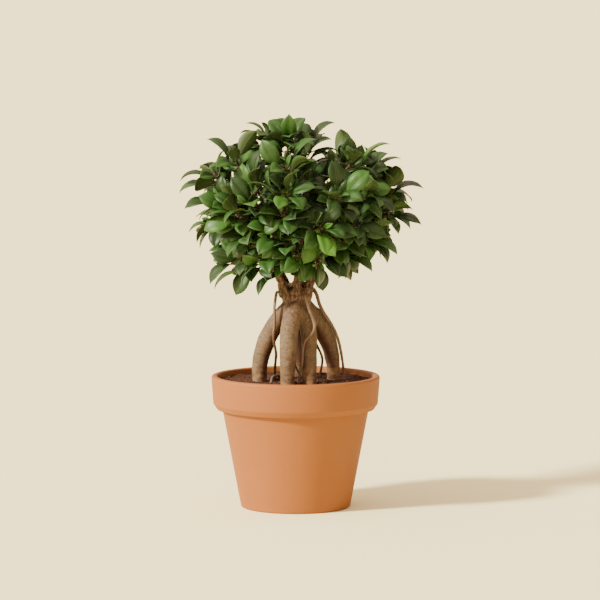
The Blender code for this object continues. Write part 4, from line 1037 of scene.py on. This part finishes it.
def grow_blade(shape, blade, uv, tint, rng):
    """A leaf blade as a folded, arched and faintly waved grid."""
    rows = len(BLADE_OUTLINE) - 1
    made = bmesh.ops.create_grid(shape, x_segments=rows, y_segments=BLADE_ACROSS, size=0.5)
    wave_turn = rng.uniform(0, math.tau)
    wave = rng.uniform(*EDGE_WAVE)
    droop = rng.uniform(*TIP_DROOP)
    lay = {}
    for vert in made["verts"]:
        t, width = BLADE_OUTLINE[round((vert.co.x + 0.5) * rows)]
        reach = math.copysign(abs(2 * vert.co.y) ** CREASE, vert.co.y)
        point, way = blade.midrib(t)
        up = way.cross(blade.side).normalized()
        half = blade.half_width * width
        rise = (blade.fold + FOLD_RISE) * abs(reach) - FOLD_BACK * reach * reach
        rise += wave * math.sin(wave_turn + 9 * t + (2 if reach > 0 else 0)) * reach * reach
        drop = droop * blade.half_width * max(t - 0.75, 0.0) ** 2 * 16
        vert.co = point + blade.side * reach * half + up * (rise * half - drop)
        vert[tint] = blade.tint
        lay[vert] = (t, 0.5 + reach / 2)
    for face in {face for vert in made["verts"] for face in vert.link_faces}:
        for loop in face.loops:
            loop[uv].uv = lay[loop.vert]


def grow_stalk(wood, blade):
    """The thin stalk from the twig to the blade's foot."""
    foot, way = blade.midrib(0.0)
    bend = foot - way * (foot - blade.root).length * 0.45
    points = []
    for step in range(4):
        t = step / 3
        points.append(blade.root * (1 - t) ** 2 + bend * 2 * t * (1 - t) + (foot + way * 1.2 * MM) * t ** 2)
    add_cord(wood, points, [radius * MM for radius in STALK_RADII], 1)


class FICUS_OT_crown(bpy.types.Operator):
    """Grow the twigs, their buds and all the leaves."""
    bl_idname = "ficus.crown"
    bl_label = "Crown"

    def execute(self, context):
        chosen = settings("ficus_leaf")
        rng = random.Random(CROWN_SEED)
        nodes = sorted(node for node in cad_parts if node.startswith("spray"))
        shoots = [read_shoot(node, rng) for node in nodes]
        standing = []
        for blades, points, radii, tree in shoots:
            verts = [place for blade in blades for place in blade.places] + points
            low, high = box_of(verts)
            margin = STANDING_MARGIN * MM
            standing.append((tree, [value - margin for value in low], [value + margin for value in high]))
        trunk = cad_shape("trunk")
        standing.append((BVHTree.FromBMesh(trunk), *box_of([vert.co for vert in trunk.verts])))
        trunk.free()
        upper, under = leaf_upper(), leaf_under()
        wood = start_cords("wood")
        for number, (node, (blades, points, radii, tree)) in enumerate(zip(nodes, shoots), start=1):
            tip_leaves(points, blades, rng, standing)
            inner_leaves(points, blades, number, rng, standing)
            shape = bmesh.new()
            uv = shape.loops.layers.uv.new("leaf_lay")
            tint = shape.verts.layers.float.new("tint")
            for blade in blades:
                grow_blade(shape, blade, uv, tint, rng)
                grow_stalk(wood, blade)
            leaves = new_piece(f"leaves_{number:02d}", shape, upper, under)
            body = leaves.modifiers.new("body", "SOLIDIFY")
            body.thickness = chosen.thickness
            body.offset = -1.0
            body.material_offset = 1
            dress(leaves, "leaf", node)
            way = (points[-1] - points[-2]).normalized()
            bud = [points[-1] + way * step * MM for step in BUD_STEPS]
            add_cord(wood, points[:-1] + bud, radii[:-1] + [radii[-2] * 0.95, 0.8 * MM, 0.12 * MM])
        twigs = cords_piece("twigs", wood, twig_bark(), leaf_stalk())
        dress(twigs, "bark", *nodes)
        return {"FINISHED"}


class FICUS_OT_stage(bpy.types.Operator):
    """Set the camera, the floor and the soft lights."""
    bl_idname = "ficus.stage"
    bl_label = "Stage"

    def execute(self, context):
        chosen = settings("ficus_stage")
        scene = context.scene
        camera = bpy.data.objects.new("camera", bpy.data.cameras.new("camera"))
        camera.data.lens = LENS_MM
        camera.data.sensor_width = SENSOR_MM
        tilt = Matrix.Rotation(math.radians(90 - CAMERA_DIP), 4, "X")
        camera.matrix_world = Matrix.Translation(CAMERA_PLACE) @ tilt
        camera.data.clip_end = VIEW_END
        scene.collection.objects.link(camera)
        scene.camera = camera
        shape = bmesh.new()
        bmesh.ops.create_circle(shape, cap_ends=True, segments=96, radius=FLOOR_REACH)
        floor = new_piece("floor", shape, studio_paint(), smooth=False)
        lamp = bpy.data.lights.new("key", "SUN")
        lamp.angle = chosen.softness
        lamp.energy = chosen.power
        lamp.color = chosen.light[:3]
        key = bpy.data.objects.new("key", lamp)
        key.rotation_euler = (0.0, math.pi / 2 - chosen.height, math.pi + chosen.turn)
        scene.collection.objects.link(key)
        world = bpy.data.worlds.new("studio")
        world.use_nodes = True
        tree = world.node_tree
        sky = tree.nodes["Background"]
        sky.inputs["Color"].default_value = chosen.sky
        way = add_node(tree, "ShaderNodeTexCoord", out=0)
        to_right = add_node(tree, "ShaderNodeSeparateXYZ", {0: way}, out=0)
        strength = ramped(tree, to_right, -1.0, 1.0, (1 + chosen.lean) * chosen.ambient,
                          (1 - chosen.lean) * chosen.ambient)
        tree.links.new(strength, sky.inputs["Strength"])
        scene.world = world
        return {"FINISHED"}


PANEL_ROWS = (
    ("ficus_stage", ("ficus.stage",)),
    ("ficus_pot", ("ficus.pot",)),
    ("ficus_soil", ("ficus.soil",)),
    ("ficus_root", ("ficus.root_stock", "ficus.air_roots")),
    ("ficus_leaf", ("ficus.crown",)),
)


class FICUS_PT_panel(bpy.types.Panel):
    """Steps and settings of the ficus."""
    bl_idname = "FICUS_PT_panel"
    bl_label = "Ginseng Ficus"
    bl_space_type = "VIEW_3D"
    bl_region_type = "UI"
    bl_category = "Ficus"

    def draw(self, context):
        for group, steps in PANEL_ROWS:
            box = self.layout.box()
            chosen = getattr(context.scene, group)
            for name in chosen.__annotations__:
                box.prop(chosen, name)
            for step in steps:
                box.operator(step)


GROUPS = {
    "ficus_pot": FicusPotSettings,
    "ficus_soil": FicusSoilSettings,
    "ficus_root": FicusRootSettings,
    "ficus_leaf": FicusLeafSettings,
    "ficus_stage": FicusStageSettings,
}
STEPS = (FICUS_OT_stage, FICUS_OT_pot, FICUS_OT_soil, FICUS_OT_root_stock, FICUS_OT_air_roots, FICUS_OT_crown)


def register():
    """Register the settings, the steps and the panel."""
    for name, group in GROUPS.items():
        bpy.utils.register_class(group)
        setattr(bpy.types.Scene, name, PointerProperty(type=group))
    for step in STEPS:
        bpy.utils.register_class(step)
    bpy.utils.register_class(FICUS_PT_panel)


def unregister():
    """Take the panel, the steps and the settings off again."""
    bpy.utils.unregister_class(FICUS_PT_panel)
    for step in reversed(STEPS):
        bpy.utils.unregister_class(step)
    for name, group in GROUPS.items():
        delattr(bpy.types.Scene, name)
        bpy.utils.unregister_class(group)


def main():
    """Build the whole plant and its stage."""
    register()
    bpy.ops.ficus.stage()
    bpy.ops.ficus.pot()
    bpy.ops.ficus.soil()
    bpy.ops.ficus.root_stock()
    bpy.ops.ficus.air_roots()
    bpy.ops.ficus.crown()


if __name__ == "__main__":
    main()
